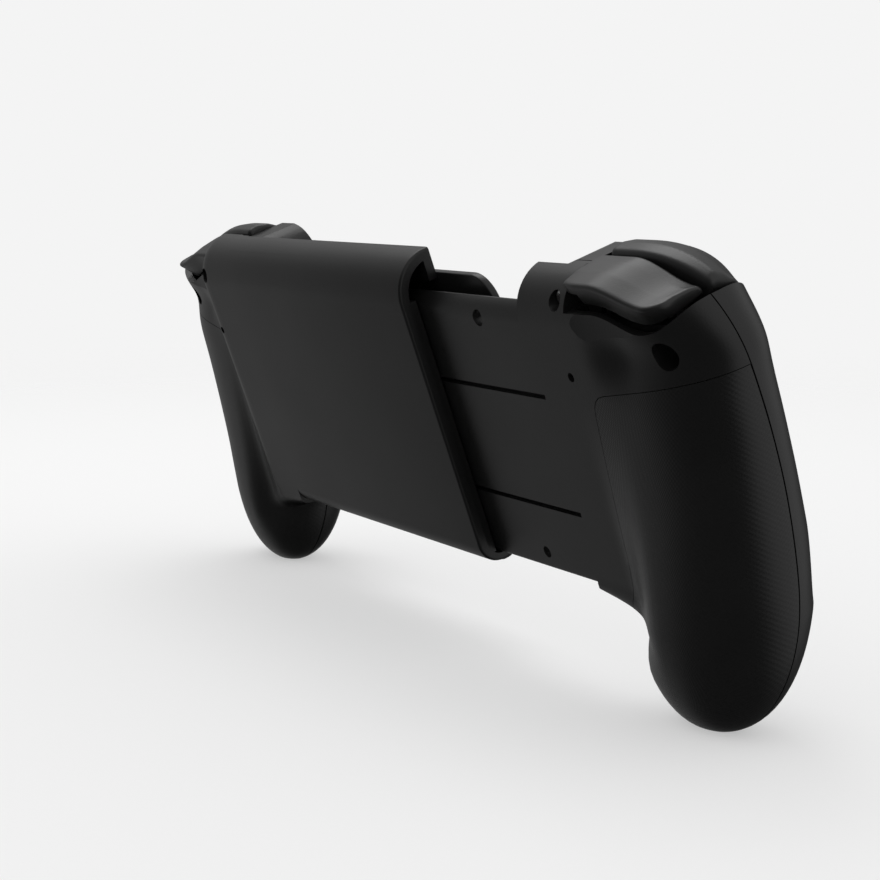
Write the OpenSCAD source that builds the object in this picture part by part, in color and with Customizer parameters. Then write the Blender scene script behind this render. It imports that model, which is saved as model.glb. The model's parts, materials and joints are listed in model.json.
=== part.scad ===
// Telescopic phone gamepad: two full-size grips, one carried on a plate that slides in the other's sleeve.
// Millimetres. Modelled flat against its back (x to the right grip, y to the back, z up), then leaned.

/* [Stance] */
// lean toward the back while it stands on its grip ends, degrees
lean = 20; // [12:1:24]
// length of the phone the two grips are set to
phone_len = 160; // [152:1:170]
// depth of the flat worn on each grip end
foot_cut = 0.7; // [0.4:0.1:1.2]

/* [Phone slot] */
// height of the slots that take the phone's short sides
slot_h = 77; // [72:1:79]
// opening of the slots, front to back
slot_t = 8.8; // [8:0.2:9.6]
// depth of each slot
slot_d = 6.5; // [5:0.5:7]

/* [Grips] */
// half width of a grip
grip_half = 25.4; // [23:0.2:26]
// half depth of a grip
grip_deep = 17; // [15:0.5:18]
// height at which a grip reaches its full section
grip_full = 36; // [32:1:42]
// height of the housing's top edge
pod_top = 105; // [103:0.5:107]
// depth of the housing, back to front face
pod_deep = 27; // [26:0.5:28]
// thickness of the shell walls
wall = 2.2; // [1.8:0.1:2.6]
// thickness of the textured grip covers
cover_t = 1.5; // [1.2:0.1:1.6]

/* [Telescope] */
// thickness of the sliding plate
plate_t = 3; // [2.6:0.1:3.2]
// bottom edge of the sliding plate
plate_lo = 28.6; // [28.4:0.1:30]
// top edge of the sliding plate
plate_hi = 98.7; // [96:0.1:99.5]
// how far the sleeve stands behind the plate
rise = 4.8; // [4.2:0.1:5.4]
// top edge of the sleeve
sleeve_top = 108; // [107:0.5:109]
// free end of the sleeve, left of the middle
sleeve_end = 30.5; // [26:0.5:32]
// width of the two slide grooves
groove_w = 1.2; // [1:0.1:3]

/* [Controls] */
// diameter of the stick caps
stick_d = 17.6; // [17:0.2:18.4]
// length of the direction pad across its arms
dpad_w = 22; // [20:0.5:23]
// width of one arm of the direction pad
dpad_arm = 7.4; // [6.6:0.2:8]
// diameter of the face buttons
button_d = 9.4; // [8.6:0.2:9.8]
// distance of the face buttons from their middle
button_ring = 9.2; // [8.9:0.1:9.6]
// diameter of the small menu buttons
small_d = 5; // [4.4:0.2:5.4]

/* [Hidden] */
grip_x = phone_len / 2 - 6;
um = 33;
// shell outline around a grip: points on a quarter, and heights of the rings
quarter = 7;
tip_rings = 5;
r_back = 11;
r_front = 6;
y_front = -pod_deep;
rest_y = -6.9;
rest_t = 2;
slot_y = rest_y - rest_t - 0.5;
slot_z = 65.4;
pad_z = slot_h - 10;
board_y = -14.4;
board_t = 1.2;
rim_u = 18.2;
rim_lo = pod_top - 11.4;
pin_y = -10.5;
pin_z = rim_lo + 3.6;
bpin_y = -23;
bpin_z = rim_lo + 3.9;
pin_r = 1;
// the lower controls share the room under the upper ones
left_stick = [31, pod_top - 26];
right_stick = [27, 0.7 * pod_top - 25.5];
dpad_at = [26, 0.45 * pod_top + 0.75];
face_at = [32, pod_top - 28];
small_at = [[14.5, pod_top - 21], [14.5, 0.42 * pod_top - 8.1]];
// front of the small buttons' flanges
small_seat = [-23.2, -21];
press = 0.5;
stick_pivot = -19;
screw_low = [47.5, 44];
screw_mid = [46.5, pod_top - 16.5];
screw_top = [14.6, pod_top - 5.6];
// the rest's screws under the sleeve's lip
lip_low = sleeve_top - 8;
rest_x = [-20, 25, grip_x - 8];
rest_z = sleeve_top - 5.4;
// ends of the pull springs
hook_x = [-36, grip_x - 7];
board_top = pod_top - 15;
floor_z = rim_lo - 0.7;
spring_z = [plate_hi - 10.7, 37];
groove_z = [76.1, 46.6];
groove_t = 1.6;
dark = [0.14, 0.14, 0.145];
mid = [0.18, 0.18, 0.185];
rubber = [0.1, 0.1, 0.1];
steel = [0.7, 0.7, 0.72];
green = [0.1, 0.3, 0.18];

function clamp01(t) = min(1, max(0, t));
function smooth(a, b, t) = let (s = clamp01((t - a) / (b - a))) s * s * (3 - 2 * s);
function mix(a, b, t) = a + (b - a) * t;
function bell(t) = exp(-t * t);

// taper of a grip toward its tip
function taper(z) = z >= grip_full ? 1
  : pow(max(0.0004, 1 - pow((grip_full - z) / grip_full, 2.2)), 1 / 2.2);
// how far the section has become a flat housing
function housing(z) = smooth(21, 28.4, z);
// the right housing runs up into the sleeve
function top_of(side) = side > 0 ? max(sleeve_top, pod_top) : pod_top;
// centre line of the grip
function mid_y(z) = -1.3 - 0.27 * z;
function half_out(z) = grip_half * taper(z) + smooth(40, 75, z)
  - 9 * pow(clamp01((z - pod_top + 21) / 21), 2);
function half_in(z) = mix(0.9 * grip_half * taper(z), um + 4, housing(z));
function grip_back(z) = z < 26 ? mid_y(z) + grip_deep * taper(z)
  : (mid_y(26) + grip_deep * taper(26)) * pow(max(0, (80 - z) / 54), 1.5);
function flat_back(u, side) = side > 0 ? rise * (1 - smooth(15, 27, u)) : 0;
function round_off(z, top, r) = z > top - r ? r - sqrt(max(0, r * r - pow(z - top + r, 2))) : 0;
// back surface over the housing and the grip
function back_y(u, z, side) = mix(flat_back(u, side), grip_back(z),
  mix(1, smooth(14, 32, u), smooth(12, 30, z)))
  - 2.4 * bell((z - pod_top + 18) / 6) * smooth(22, 36, u) - round_off(z, top_of(side), r_back);
function front_y(z, side) = (z < 26 ? mid_y(z) - grip_deep * taper(z)
  : mix(mid_y(26) - grip_deep * taper(26), y_front, smooth(26, 45, z))) + round_off(z, top_of(side), r_front);
function power(z) = mix(2.05, 2.4, smooth(20, 60, z));
// one point of a section: p across, q front to back, both -1..1; off moves it inward
function at(p, q, u, z, side, off) = let (b = back_y(u, z, side) - off, f = front_y(z, side) + off)
  [u, mix(f, b, (1 + q) / 2), z];
function arc_q(p, n) = pow(max(0, 1 - pow(p, n)), 1 / n);
function out_pt(p, s, z, side, off) =
  at(p, s * arc_q(p, power(z)), um + p * (half_out(z) - off), z, side, off);
function in_pt(p, s, z, side, off, w) =
  at(p, s * mix(arc_q(p, power(z)), 1, housing(z)), um - p * w, z, side, off);
// closed section at height z, counter-clockwise seen from above, n points on a quarter
function ring(z, side, off, w, n = quarter) = concat(
  [for (k = [n:-1:1]) out_pt(sin(90 * k / n), 1, z, side, off)],
  [for (k = [0:n]) in_pt(0.996 * sin(90 * k / n), 1, z, side, off, w)],
  [for (k = [n:-1:0]) in_pt(0.996 * sin(90 * k / n), -1, z, side, off, w)],
  [for (k = [1:n - 1]) out_pt(sin(90 * k / n), -1, z, side, off)]);
function grip_rings() = concat([for (k = [1:tip_rings]) grip_full * (1 - cos(60 * k / tip_rings))],
  [21, 23, 25, 27, 30, grip_full, 44, 53, 62],
  [for (d = [34, 26, 21, 16]) pod_top - d]);
function top_rings(side) = [for (k = [0:4]) top_of(side) - r_back + (r_back - 0.05) * sin(22.5 * k)];
// the cavity's inner end: clear of the slot, and of the solid shoulder beside the trigger
function cavity_in(z) = mix(0.9 * grip_half * taper(z) - wall - cover_t,
  mix(um - slot_d - 2.5, um - rim_u - 1, smooth(rim_lo - 4.6, rim_lo - 1.6, z)), housing(z));
function cavity_wall(z) = wall + mix(cover_t, -0.2, smooth(rim_lo - 11.6, rim_lo - 2.6, z));
function seam_y(z) = -14.8 + (z < 60 ? 15.48 * pow((60 - z) / 60, 2)
  : 3.44 * pow((z - 60) / (pod_top - 60), 2));
function rim_z(u) = rim_lo + 3.6 * (1 - smooth(27, 43, u)) + 4.6 * pow(max(0, u - 43) / 10.5, 2);

// lowest point of the leaned grips, and the reach of the leaned part front and back
foot_pts = [for (z = grip_rings()) if (z < 20) each ring(z, -1, 0, half_in(z))];
lowest = min([for (q = foot_pts) q[2] * cos(lean) - q[1] * sin(lean)]);
back_reach = (rise - r_back) * cos(lean) + (sleeve_top - r_back) * sin(lean) + r_back;
cap_lift = 14.6;
dome_r = 11.2;
cap_y = stick_pivot - cap_lift;
front_reach = cap_y * cos(lean) + (right_stick[1] - stick_d / 2 + 1.2) * sin(lean) - 1.2;
stand_y = -(back_reach + front_reach) / 2;
stand_z = -lowest - foot_cut;

// skin over sections with the same number of points, each lying in one plane
module skin(rows) {
  n = len(rows[0]);
  m = len(rows);
  polyhedron(points = [for (r = rows) each r],
    faces = concat([[for (i = [0:n - 1]) i]],
      [for (j = [0:m - 2]) for (i = [0:n - 1]) each
        let (a = j * n + i, b = j * n + (i + 1) % n) [[a, a + n, b], [b, a + n, b + n]]],
      [[for (i = [n - 1:-1:0]) (m - 1) * n + i]]));
}

module stand() translate([0, stand_y, stand_z]) rotate([-lean, 0, 0]) children();
// everything above the floor, in the flat frame
module above_floor() rotate([lean, 0, 0]) translate([-200, -200, -stand_z]) cube([400, 400, 300]);
module on_left() translate([-grip_x, 0, 0]) mirror([1, 0, 0]) children();
module on_right() translate([grip_x, 0, 0]) children();
module on_side(side) { if (side > 0) on_right() children(); else on_left() children(); }
// prism along x over a shape drawn in (y, z)
module along_x(x0, x1) translate([x0, 0, 0]) rotate([90, 0, 90]) linear_extrude(x1 - x0) children();
// prism along y over a shape drawn in (x, z)
module along_y(y0, y1) translate([0, y1, 0]) rotate([90, 0, 0]) linear_extrude(y1 - y0) children();
// cylinder along y
module rod_y(u, z, r, y0, y1, f = 48) translate([u, y1, z]) rotate([90, 0, 0])
  cylinder(r = r, h = y1 - y0, $fn = f);
module rod_x(y, z, r, u0, u1) translate([u0, y, z]) rotate([0, 90, 0]) cylinder(r = r, h = u1 - u0, $fn = 48);
// one moulding with free surfaces
module moulded() resize([0, 0, 0]) children();
module box(a, b) translate(a) cube(b - a);

// outer form of one half, off mm under its surface
module pod(side, off) skin([for (z = concat(grip_rings(), top_rings(side)))
  if (z > off * 2 && z < top_of(side) - off)
  ring(z, side, off, half_in(z) - off)]);
module cavity(side) skin([for (z = concat([6, 11, 18, 23, 27.5, 36, 48],
  [for (d = [43, 31, 23, 17, 14, 10, 6]) pod_top - d])) ring(z, side, cavity_wall(z), cavity_in(z), 4)]);
over = top_of(1) + 10;
function seam_line(gap) = [for (z = concat([for (k = [0:15]) -10 + 8 * k], [over])) [seam_y(z) + gap, z]];
// zone behind the parting line of the two shells
module rear_zone(gap) along_x(-20, 90) polygon(concat(seam_line(gap), [[60, over], [60, -10]]));
module front_zone(gap) along_x(-20, 90) polygon(concat(seam_line(-gap), [[-70, over], [-70, -10]]));
// outline of the textured cover, seen from behind
module cover_zone(gap) along_y(-40, 40) polygon([[20.3 - gap, pod_top - 30],
  [21.4 - gap, pod_top - 27.6 + gap], [24, pod_top - 26.4 + gap], [75, pod_top - 19 + gap],
  [75, -12], [9 - gap, -12], [11 - gap, 20], [14.4 - gap, 30], [16 - gap, 37]]);
// opening over the trigger and the bumper
module gate() along_y(-60, 40) polygon(concat([for (u = [rim_u:2.5:60]) [u, rim_z(u)]],
  [[80, rim_z(60)], [80, over + 12], [rim_u, over + 12]]));
module slot_cut(side) {
  box([-1, slot_y - slot_t, slot_z - slot_h / 2], [slot_d, slot_y + 0.1, slot_z + slot_h / 2]);
  if (side > 0) box([-1, -60, pod_top - 0.6], [rim_u + 1, rest_y - 0.4, over + 2]);
  along_y(-60, slot_y + 0.1) polygon(concat([[-2, over + 2], [-2, pod_top - 14]],
    [for (k = [0:5]) [14 - 14 * cos(18 * k), pod_top - 14 + 14 * sin(18 * k)]], [[14, over + 2]]));
}
// shallow hollow for the finger under the trigger, on the flat of the back
module finger_hollow(side) intersection() {
  translate([38, 10, rim_lo + 5.4]) scale([40.6, 11.4, 24]) sphere(r = 1, $fn = 96);
  box([side > 0 ? 27 : 0, -20, rim_lo - 20], [60, 1, rim_lo + 20]);
}
// room behind the phone for the rest's free end
module rest_cut() box([-1, slot_y - 0.2, 18.5], [25, rest_y + 0.5, pod_top - 1.8]);

module screw_hole(at, y0, y1, r) {
  rod_y(at[0], at[1], r, y0, 30, 20);
  rod_y(at[0], at[1], 1.25, y1, y0 + 0.1, 12);
}

module rear_half(side) {
  difference() {
    union() {
      difference() {
        pod(side, 0);
        cavity(side);
      }
      rod_y(screw_mid[0], screw_mid[1], 4.1, -16, -3.5, 20);
      rod_y(screw_low[0], screw_low[1], 3.6, -16, -0.5, 20);
    }
    difference() {
      cover_zone(0.25);
      pod(side, cover_t + 0.1);
    }
    front_zone(-0.05);
    gate();
    box([-20, -60, -20], [0, 60, over + 22]);
    slot_cut(side);
    if (side < 0) rest_cut();
    finger_hollow(side);
    screw_hole(screw_mid, -10, -17, 3.2);
    screw_hole(screw_low, -10, -17, 2.6);
    screw_hole(screw_top, -4.6, -20, 2.1);
    rod_y(screw_top[0], pod_top - 22.8, 1.1, -1.4, 20, 12);
    translate([-grip_x * side, 0, 0]) above_floor_cut();
  }
}
module above_floor_cut() difference() {
  box([-200, -60, -30], [200, 60, 12]);
  above_floor();
}

module left_plate() difference() {
  along_x(-grip_x, 18) polygon(concat([[-plate_t, plate_lo], [-1, plate_lo], [0, plate_lo + 1]],
    [for (k = [0:6]) [-5.5 + 5.5 * cos(9.6 * k), plate_hi - 5 + 5.5 * sin(9.6 * k)]],
    [[-plate_t, plate_hi - 5 + 5.5 * sin(57.6)]]));
  rod_y(-grip_x + 17.7, plate_hi - 4.8, 2, -10, 5, 20);
  rod_y(-grip_x + 19.1, plate_lo + 4.6, 1.5, -10, 5, 16);
}

// each groove runs into the grip, and widens to a recess where the sleeve ends
module groove(z) {
  box([-grip_x - 1.5, -groove_t, z - groove_w / 2], [5, 1, z + groove_w / 2]);
  box([-sleeve_end + 3.5, -groove_t, z + groove_w / 2 - 0.1], [-sleeve_end + 9.5, 1, z + groove_w / 2 + 3.4]);
}
module left_rear_shell() stand() color(dark) moulded() difference() {
  union() {
    on_left() rear_half(-1);
    box([-grip_x - 2, -2.6, 34], [-grip_x + 2, -0.6, plate_hi - 8.7]);
    left_plate();
    for (z = spring_z) rod_y(hook_x[0], z, 1.2, -6.2, -plate_t + 0.5, 16);
  }
  for (z = groove_z) groove(z);
}

// channel of the sleeve in (y, z): outer side, then inner side, up to the lip that takes the rest's screws
sleeve_wall = 2.6;
lip_y = -4.6;
lip_turn = acos((lip_y - rise + r_back) / (r_back - sleeve_wall));
module sleeve_shape() difference() {
  polygon(concat([[rest_y, 26]], [for (k = [0:5]) [rise - 6.06 + 6 * sin(18 * k), 32 - 6 * cos(18 * k)]],
    [for (k = [0:4]) let (h = (r_back - 0.05) * sin(22.5 * k))
      [rise - r_back + sqrt(r_back * r_back - h * h) - 0.06, sleeve_top - r_back + h - 0.06]],
    [[rest_y, sleeve_top - 0.11]]));
  polygon(concat([[rest_y - 1, 28], [rise - 6, 28]],
    [for (k = [1:5]) [rise - 6 + 3.4 * sin(18 * k), 31.4 - 3.4 * cos(18 * k)]],
    [for (k = [0:8]) [rise - r_back + (r_back - sleeve_wall) * cos(lip_turn * k / 8),
      sleeve_top - r_back + (r_back - sleeve_wall) * sin(lip_turn * k / 8)]],
    [[lip_y, lip_low], [rest_y - 1, lip_low]]));
}

module right_sleeve() difference() {
  union() {
    along_x(-sleeve_end, grip_x + 2) sleeve_shape();
    box([-sleeve_end, 0.5, 29], [-sleeve_end + 4.5, rise - 2, sleeve_top - 11]);
  }
  for (z = groove_z) rod_y(-sleeve_end + 7.5, z, 0.95, 0, 3.4, 16);
  for (x = rest_x) rod_y(x, rest_z, 1.05, -12, lip_y - 0.3, 12);
}

module right_rear_shell() stand() color(dark) moulded() {
  on_right() rear_half(1);
  right_sleeve();
}

module front_half(side) difference() {
  union() {
    difference() {
      pod(side, 0);
      cavity(side);
    }
    rod_y(screw_mid[0], screw_mid[1], 3.2, -24.5, -12.15, 20);
    rod_y(screw_low[0], screw_low[1], 3.2, -23, -12.15, 20);
  }
  rear_zone(-0.05);
  gate();
  box([-20, -60, -20], [0, 60, over + 22]);
  slot_cut(side);
  for (s = [screw_mid, screw_low, screw_top]) rod_y(s[0], s[1], 1.05, -22, 0, 12);
  for (s = small_at) rod_y(s[0], s[1], small_d / 2 + 0.3, -60, -18, 20);
  translate([-grip_x * side, 0, 0]) above_floor_cut();
  children();
}

module cross(w, a) {
  square([w, a], center = true);
  square([a, w], center = true);
}

module left_front_shell() stand() color(dark) moulded() on_left() front_half(-1) {
  rod_y(left_stick[0], left_stick[1], 11, -60, -18, 40);
  along_y(-60, -18) translate(dpad_at) cross(dpad_w + 1.8, dpad_arm + 1.8);
}

module right_front_shell() stand() color(dark) moulded() on_right() front_half(1) {
  rod_y(right_stick[0], right_stick[1], 11, -60, -18, 40);
  for (k = [0:3]) rod_y(face_at[0] + button_ring * cos(90 * k), face_at[1] + button_ring * sin(90 * k),
    button_d / 2 + 0.3, -60, -18, 28);
}

module grip_cover(side) color(rubber) moulded() on_side(side) difference() {
  intersection() {
    difference() {
      pod(side, 0);
      pod(side, cover_t);
    }
    cover_zone(0);
  }
  front_zone(-0.15);
  translate([-grip_x * side, 0, 0]) above_floor_cut();
}
module left_grip_cover() stand() grip_cover(-1);
module right_grip_cover() stand() grip_cover(1);

// back outline of the housing at the trigger's height, without the sleeve's rise
function edge_y(u) = u < um ? 0
  : mix(y_front, 0, (1 + arc_q(min(1, (u - um) / half_out(pod_top - 9)), 2.4)) / 2);
// rear edge of a trigger seen from above, with a round outer corner
trig_end = 49.9;
trig_corner = 5;
function trig_back(u) = trig_corner * (sqrt(1 - pow(clamp01((u - trig_end + 4.9) / trig_corner), 2)) - 1) - 1
  - 1.2 * pow(clamp01((24 - u) / 6), 2);
// height of its rear edge, and of its edge beside the bumper
function trig_top(u) = pod_top - 1.1 - 4 * smooth(28, 47, u);
function trig_gap(u) = pod_top + 0.6 - 5.6 * smooth(31, 50, u);
// its skirt goes down inside the housing's wall
function skirt_y(u) = min(trig_back(u) - 2, edge_y(u) - 3.2);
function skirt_lo(u) = rim_z(u) + 1.2;
trig_front = -14.2;
function trig_row(u) = let (b = trig_back(u), t = trig_top(u), g = trig_gap(u)) [
  [u, trig_front, skirt_lo(u) + 1.5], [u, skirt_y(u) - 0.6, skirt_lo(u)],
  [u, skirt_y(u), skirt_lo(u)], [u, b, t - 1.2],
  [u, b - 0.3, t - 0.4], [u, b - 1.1, t + 0.1], [u, mix(b, trig_front, 0.35), mix(t, g, 0.35) + 0.4],
  [u, mix(b, trig_front, 0.7), mix(t, g, 0.7) + 0.4], [u, trig_front + 0.8, g], [u, trig_front, g - 0.8]];
function trig_hollow(u) = let (b = trig_back(u), t = trig_top(u), g = trig_gap(u)) [
  [u, trig_front - 1, rim_lo - 8.6], [u, skirt_y(u) - 1.3, rim_lo - 8.6],
  [u, b - 2.8, t - 2.6], [u, b - 3.4, t - 1.9],
  [u, mix(b, trig_front, 0.5), mix(t, g, 0.5) - 1.5], [u, trig_front - 1, g - 2]];
trig_u = concat([for (k = [0:7]) 19 + 3.7 * k], [for (d = [3.1, 1.7, 0.7, 0]) trig_end - d]);

module trigger(side) color(mid) on_side(side) difference() {
  union() {
    difference() {
      skin([for (u = trig_u) trig_row(u)]);
      skin([for (u = [20.8, 25, 30, 35, 40, 45, trig_end - 1.7]) trig_hollow(u)]);
    }
    rod_x(pin_y, pin_z, 2.6, 25, 37);
    box([26, pin_y - 1.4, pin_z], [36, pin_y + 1.4, pod_top - 1.6]);
  }
  rod_x(pin_y, pin_z, pin_r + 0.06, 24, 38);
  box([18, -5, rim_lo - 3.6], [23.2, 5, pod_top - 3.8]);
}
module left_trigger() stand() trigger(-1);
module right_trigger() stand() trigger(1);

bump_back = -15.3;
function bump_top(u) = pod_top + 1.3 - 6 * pow(clamp01((u - 26) / 26), 2.2);
function bump_front(u) = -27.4 + 8 * pow(clamp01((u - 30) / 26), 2.4);
function bump_row(u) = let (t = bump_top(u), f = bump_front(u), lo = rim_z(u) + 0.6) [
  [u, f, lo], [u, bump_back, lo + 1], [u, bump_back, t - 1.4], [u, bump_back - 0.7, t - 0.3],
  [u, mix(bump_back, f, 0.3), t + 0.2], [u, mix(bump_back, f, 0.6), t - 0.6],
  [u, mix(bump_back, f, 0.86), t - 2.6], [u, f, max(t - 5.2, lo + 0.6)]];
function bump_hollow(u) = let (t = bump_top(u), f = bump_front(u)) [
  [u, f + 1.8, rim_lo - 8.6], [u, bump_back - 1.8, rim_lo - 8.6], [u, bump_back - 1.8, t - 2.6],
  [u, mix(bump_back, f, 0.5), t - 2.2], [u, f + 1.8, t - 6]];

module bumper(side) color(mid) on_side(side) difference() {
  union() {
    difference() {
      skin([for (u = [18.9:3.2:51]) bump_row(u)]);
      skin([for (u = [20.6, 26, 32, 38, 44, 48.9]) bump_hollow(u)]);
    }
    rod_x(bpin_y, bpin_z, 2, 26, 36);
    box([27, bpin_y - 0.6, bpin_z], [35, bpin_y + 1, pod_top - 1.9]);
  }
  rod_x(bpin_y, bpin_z, pin_r + 0.06, 25, 37);
}
module left_bumper() stand() bumper(-1);
module right_bumper() stand() bumper(1);

// frame that carries both hinge pins
module bracket(side) color(mid) on_side(side) difference() {
  union() {
    translate([0, 0, floor_z]) linear_extrude(1.1) polygon(concat([[20.6, -24]],
      [for (u = [20.6:3.8:54]) [u, edge_y(u) - 5.2]], [[54, -16], [48, -22], [40, -24]]));
    for (u = [21.8, 38.2]) {
      box([u, pin_y - 1.7, floor_z + 0.1], [u + 2, pin_y + 1.7, pin_z]);
      rod_x(pin_y, pin_z, 1.7, u, u + 2);
      box([u, board_y - 0.8, board_top + 0.04], [u + 2, board_y + 2, floor_z + 0.3]);
      box([u, bpin_y - 1.45, floor_z + 0.1], [u + 2, bpin_y + 1.45, bpin_z]);
      rod_x(bpin_y, bpin_z, 1.45, u, u + 2);
    }
  }
  rod_x(pin_y, pin_z, pin_r + 0.02, 10, 60);
  rod_x(bpin_y, bpin_z, pin_r + 0.02, 10, 60);
}
module left_bracket() stand() bracket(-1);
module right_bracket() stand() bracket(1);
module trigger_pin(side) color(steel) on_side(side) rod_x(pin_y, pin_z, pin_r, 21.8, 40.2);
module left_trigger_pin() stand() trigger_pin(-1);
module right_trigger_pin() stand() trigger_pin(1);
module bumper_pin(side) color(steel) on_side(side) rod_x(bpin_y, bpin_z, pin_r, 21.8, 40.2);
module left_bumper_pin() stand() bumper_pin(-1);
module right_bumper_pin() stand() bumper_pin(1);
// return spring wound round the pin beside the trigger's barrel
module trigger_spring(side) color(steel) on_side(side) difference() {
  rod_x(pin_y, pin_z, 1.9, 24, 24.7);
  rod_x(pin_y, pin_z, pin_r + 0.1, 20, 30);
}
module left_trigger_spring() stand() trigger_spring(-1);
module right_trigger_spring() stand() trigger_spring(1);

module board(side) color(green) on_side(side) difference() {
  along_y(board_y, board_y + board_t) polygon([[11, 32], [16, 29], [44, 29], [50, 40], [51.5, 60],
    [51.5, board_top - 12], [40, board_top], [15.5, board_top], [11, board_top - 2.6]]);
  rod_y(screw_low[0], screw_low[1], 4.2, -40, 0);
  rod_y(screw_mid[0], screw_mid[1], 4.6, -40, 0);
}
module left_board() stand() board(-1);
module right_board() stand() board(1);

module stick_base(side, at) color(dark) on_side(side) translate([at[0], 0, at[1]]) difference() {
  box([-6.7, -20.6, -6.7], [6.7, board_y - 0.02, 6.7]);
  box([-5.8, -30, -5.8], [5.8, board_y - 1.2, 5.8]);
  rod_x(stick_pivot, 0, 0.96, -10, 10);
}
module left_stick_base() stand() stick_base(-1, left_stick);
module right_stick_base() stand() stick_base(1, right_stick);
// cradle that tilts the stick up and down
module stick_yoke(side, at) color(mid) on_side(side) translate([at[0], 0, at[1]]) difference() {
  union() {
    box([-5.3, stick_pivot - 1.3, -5.3], [5.3, stick_pivot + 1.3, 5.3]);
    rod_x(stick_pivot, 0, 0.9, -6.6, 6.6);
  }
  box([-3.9, -40, -3.9], [3.9, 0, 3.9]);
  translate([0, stick_pivot, -10]) cylinder(r = 0.96, h = 20, $fn = 48);
}
module left_stick_yoke() stand() stick_yoke(-1, left_stick);
module right_stick_yoke() stand() stick_yoke(1, right_stick);
// block that tilts the stick left and right
module stick_rocker(side, at) color(dark) on_side(side) translate([at[0], 0, at[1]]) difference() {
  union() {
    box([-2.8, stick_pivot - 1.6, -3.4], [2.8, stick_pivot + 1.6, 3.4]);
    translate([0, stick_pivot, -5.2]) cylinder(r = 0.9, h = 10.4, $fn = 48);
  }
  rod_y(0, 0, 1.76, -40, 0);
}
module left_stick_rocker() stand() stick_rocker(-1, left_stick);
module right_stick_rocker() stand() stick_rocker(1, right_stick);
// stem with its dome and thumb cap
module stick_cap(side, at) color(rubber) on_side(side) translate([at[0], 0, at[1]]) {
  rod_y(0, 0, 1.7, stick_pivot - 12, stick_pivot + 1.4);
  translate([0, stick_pivot, 0]) rotate([90, 0, 0]) rotate_extrude($fn = 72) polygon(concat(
    [[0, dome_r - 0.9]], [for (k = [12:12:84]) (dome_r - 0.8) * [sin(k), cos(k)]],
    [for (k = [84:-12:24]) dome_r * [sin(k), cos(k)]],
    [[3.6, dome_r - 0.2], [3.4, dome_r + 0.6], [stick_d / 2 - 1.6, cap_lift - 1.9]],
    [for (k = [-60:30:120]) [stick_d / 2 - 1.2 + 1.2 * cos(k), cap_lift + 1.2 * sin(k)]],
    [[stick_d / 2 - 3, cap_lift + 0.5], [4, cap_lift - 0.4], [0, cap_lift - 0.6]]));
}
module left_stick_cap() stand() stick_cap(-1, left_stick);
module right_stick_cap() stand() stick_cap(1, right_stick);

module dpad_pivot() stand() color(mid) on_left() {
  rod_y(dpad_at[0], dpad_at[1], 2.2, -19.4, -14.9);
  translate([dpad_at[0], -18, dpad_at[1]]) sphere(r = 2.6, $fn = 48);
}
module dpad_cap() stand() color(rubber) on_left() difference() {
  union() {
    along_y(-29.6, -20.6) translate(dpad_at) cross(dpad_w, dpad_arm);
    rod_y(dpad_at[0], dpad_at[1], dpad_w / 2 + 0.6, -21.2, -20.2);
    rod_y(dpad_at[0], dpad_at[1], 4.4, -22, -18);
  }
  translate([dpad_at[0], -18, dpad_at[1]]) sphere(r = 3, $fn = 48);
  translate([dpad_at[0], -33.4, dpad_at[1]]) sphere(r = 5, $fn = 48);
}
module dpad_membrane() stand() color(rubber) on_left() difference() {
  union() {
    rod_y(dpad_at[0], dpad_at[1], 12.4, -15.6, board_y - 0.02);
    for (k = [0:3]) rod_y(dpad_at[0] + 8 * cos(90 * k), dpad_at[1] + 8 * sin(90 * k), 3, -19, -15.2);
  }
  rod_y(dpad_at[0], dpad_at[1], 3.4, -40, 0);
}

module small_button(side, k) color(mid) on_side(side) {
  rod_y(small_at[k][0], small_at[k][1], small_d / 2, -27.4, small_seat[k] + 0.7);
  rod_y(small_at[k][0], small_at[k][1], small_d / 2 + 0.9, small_seat[k], small_seat[k] + 0.7);
}
module view_button() stand() small_button(-1, 0);
module capture_button() stand() small_button(-1, 1);
module menu_button() stand() small_button(1, 0);
module home_button() stand() small_button(1, 1);
module switches(side) color(dark) on_side(side) for (k = [0, 1]) {
  s = small_at[k];
  box([s[0] - 2.6, small_seat[k] + press + 1.1, s[1] - 2.6], [s[0] + 2.6, board_y - 0.02, s[1] + 2.6]);
}
module left_switches() stand() switches(-1);
module right_switches() stand() switches(1);

module face_button(k) color(mid) on_right() translate([face_at[0] + button_ring * cos(90 * k), 0,
  face_at[1] + button_ring * sin(90 * k)]) {
  rod_y(0, 0, button_d / 2, -28.6, -20.9);
  rod_y(0, 0, button_d / 2 - 0.6, -29.2, -28.5);
  rod_y(0, 0, button_d / 2 + 0.9, -21.7, -20.9);
}
module button_right() stand() face_button(0);
module button_up() stand() face_button(1);
module button_left() stand() face_button(2);
module button_down() stand() face_button(3);
module face_membrane() stand() color(rubber) on_right() difference() {
  union() {
    rod_y(face_at[0], face_at[1], 12.6, -15.6, board_y - 0.02);
    for (k = [0:3]) rod_y(face_at[0] + button_ring * cos(90 * k), face_at[1] + button_ring * sin(90 * k),
      3.2, -19.3, -15.2);
  }
  rod_y(screw_mid[0], screw_mid[1], 4.6, -40, 0);
}

module screw(at, y_head, len) {
  rod_y(at[0], at[1], 1.9, y_head, y_head + 1.5);
  rod_y(at[0], at[1], 1, y_head - len, y_head + 0.1);
}
module screws(side) color(steel) on_side(side) {
  screw(screw_mid, -9.98, 9);
  screw(screw_low, -9.98, 9);
  screw(screw_top, -4.58, 12);
}
module left_screws() stand() screws(-1);
module right_screws() stand() screws(1);

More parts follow.
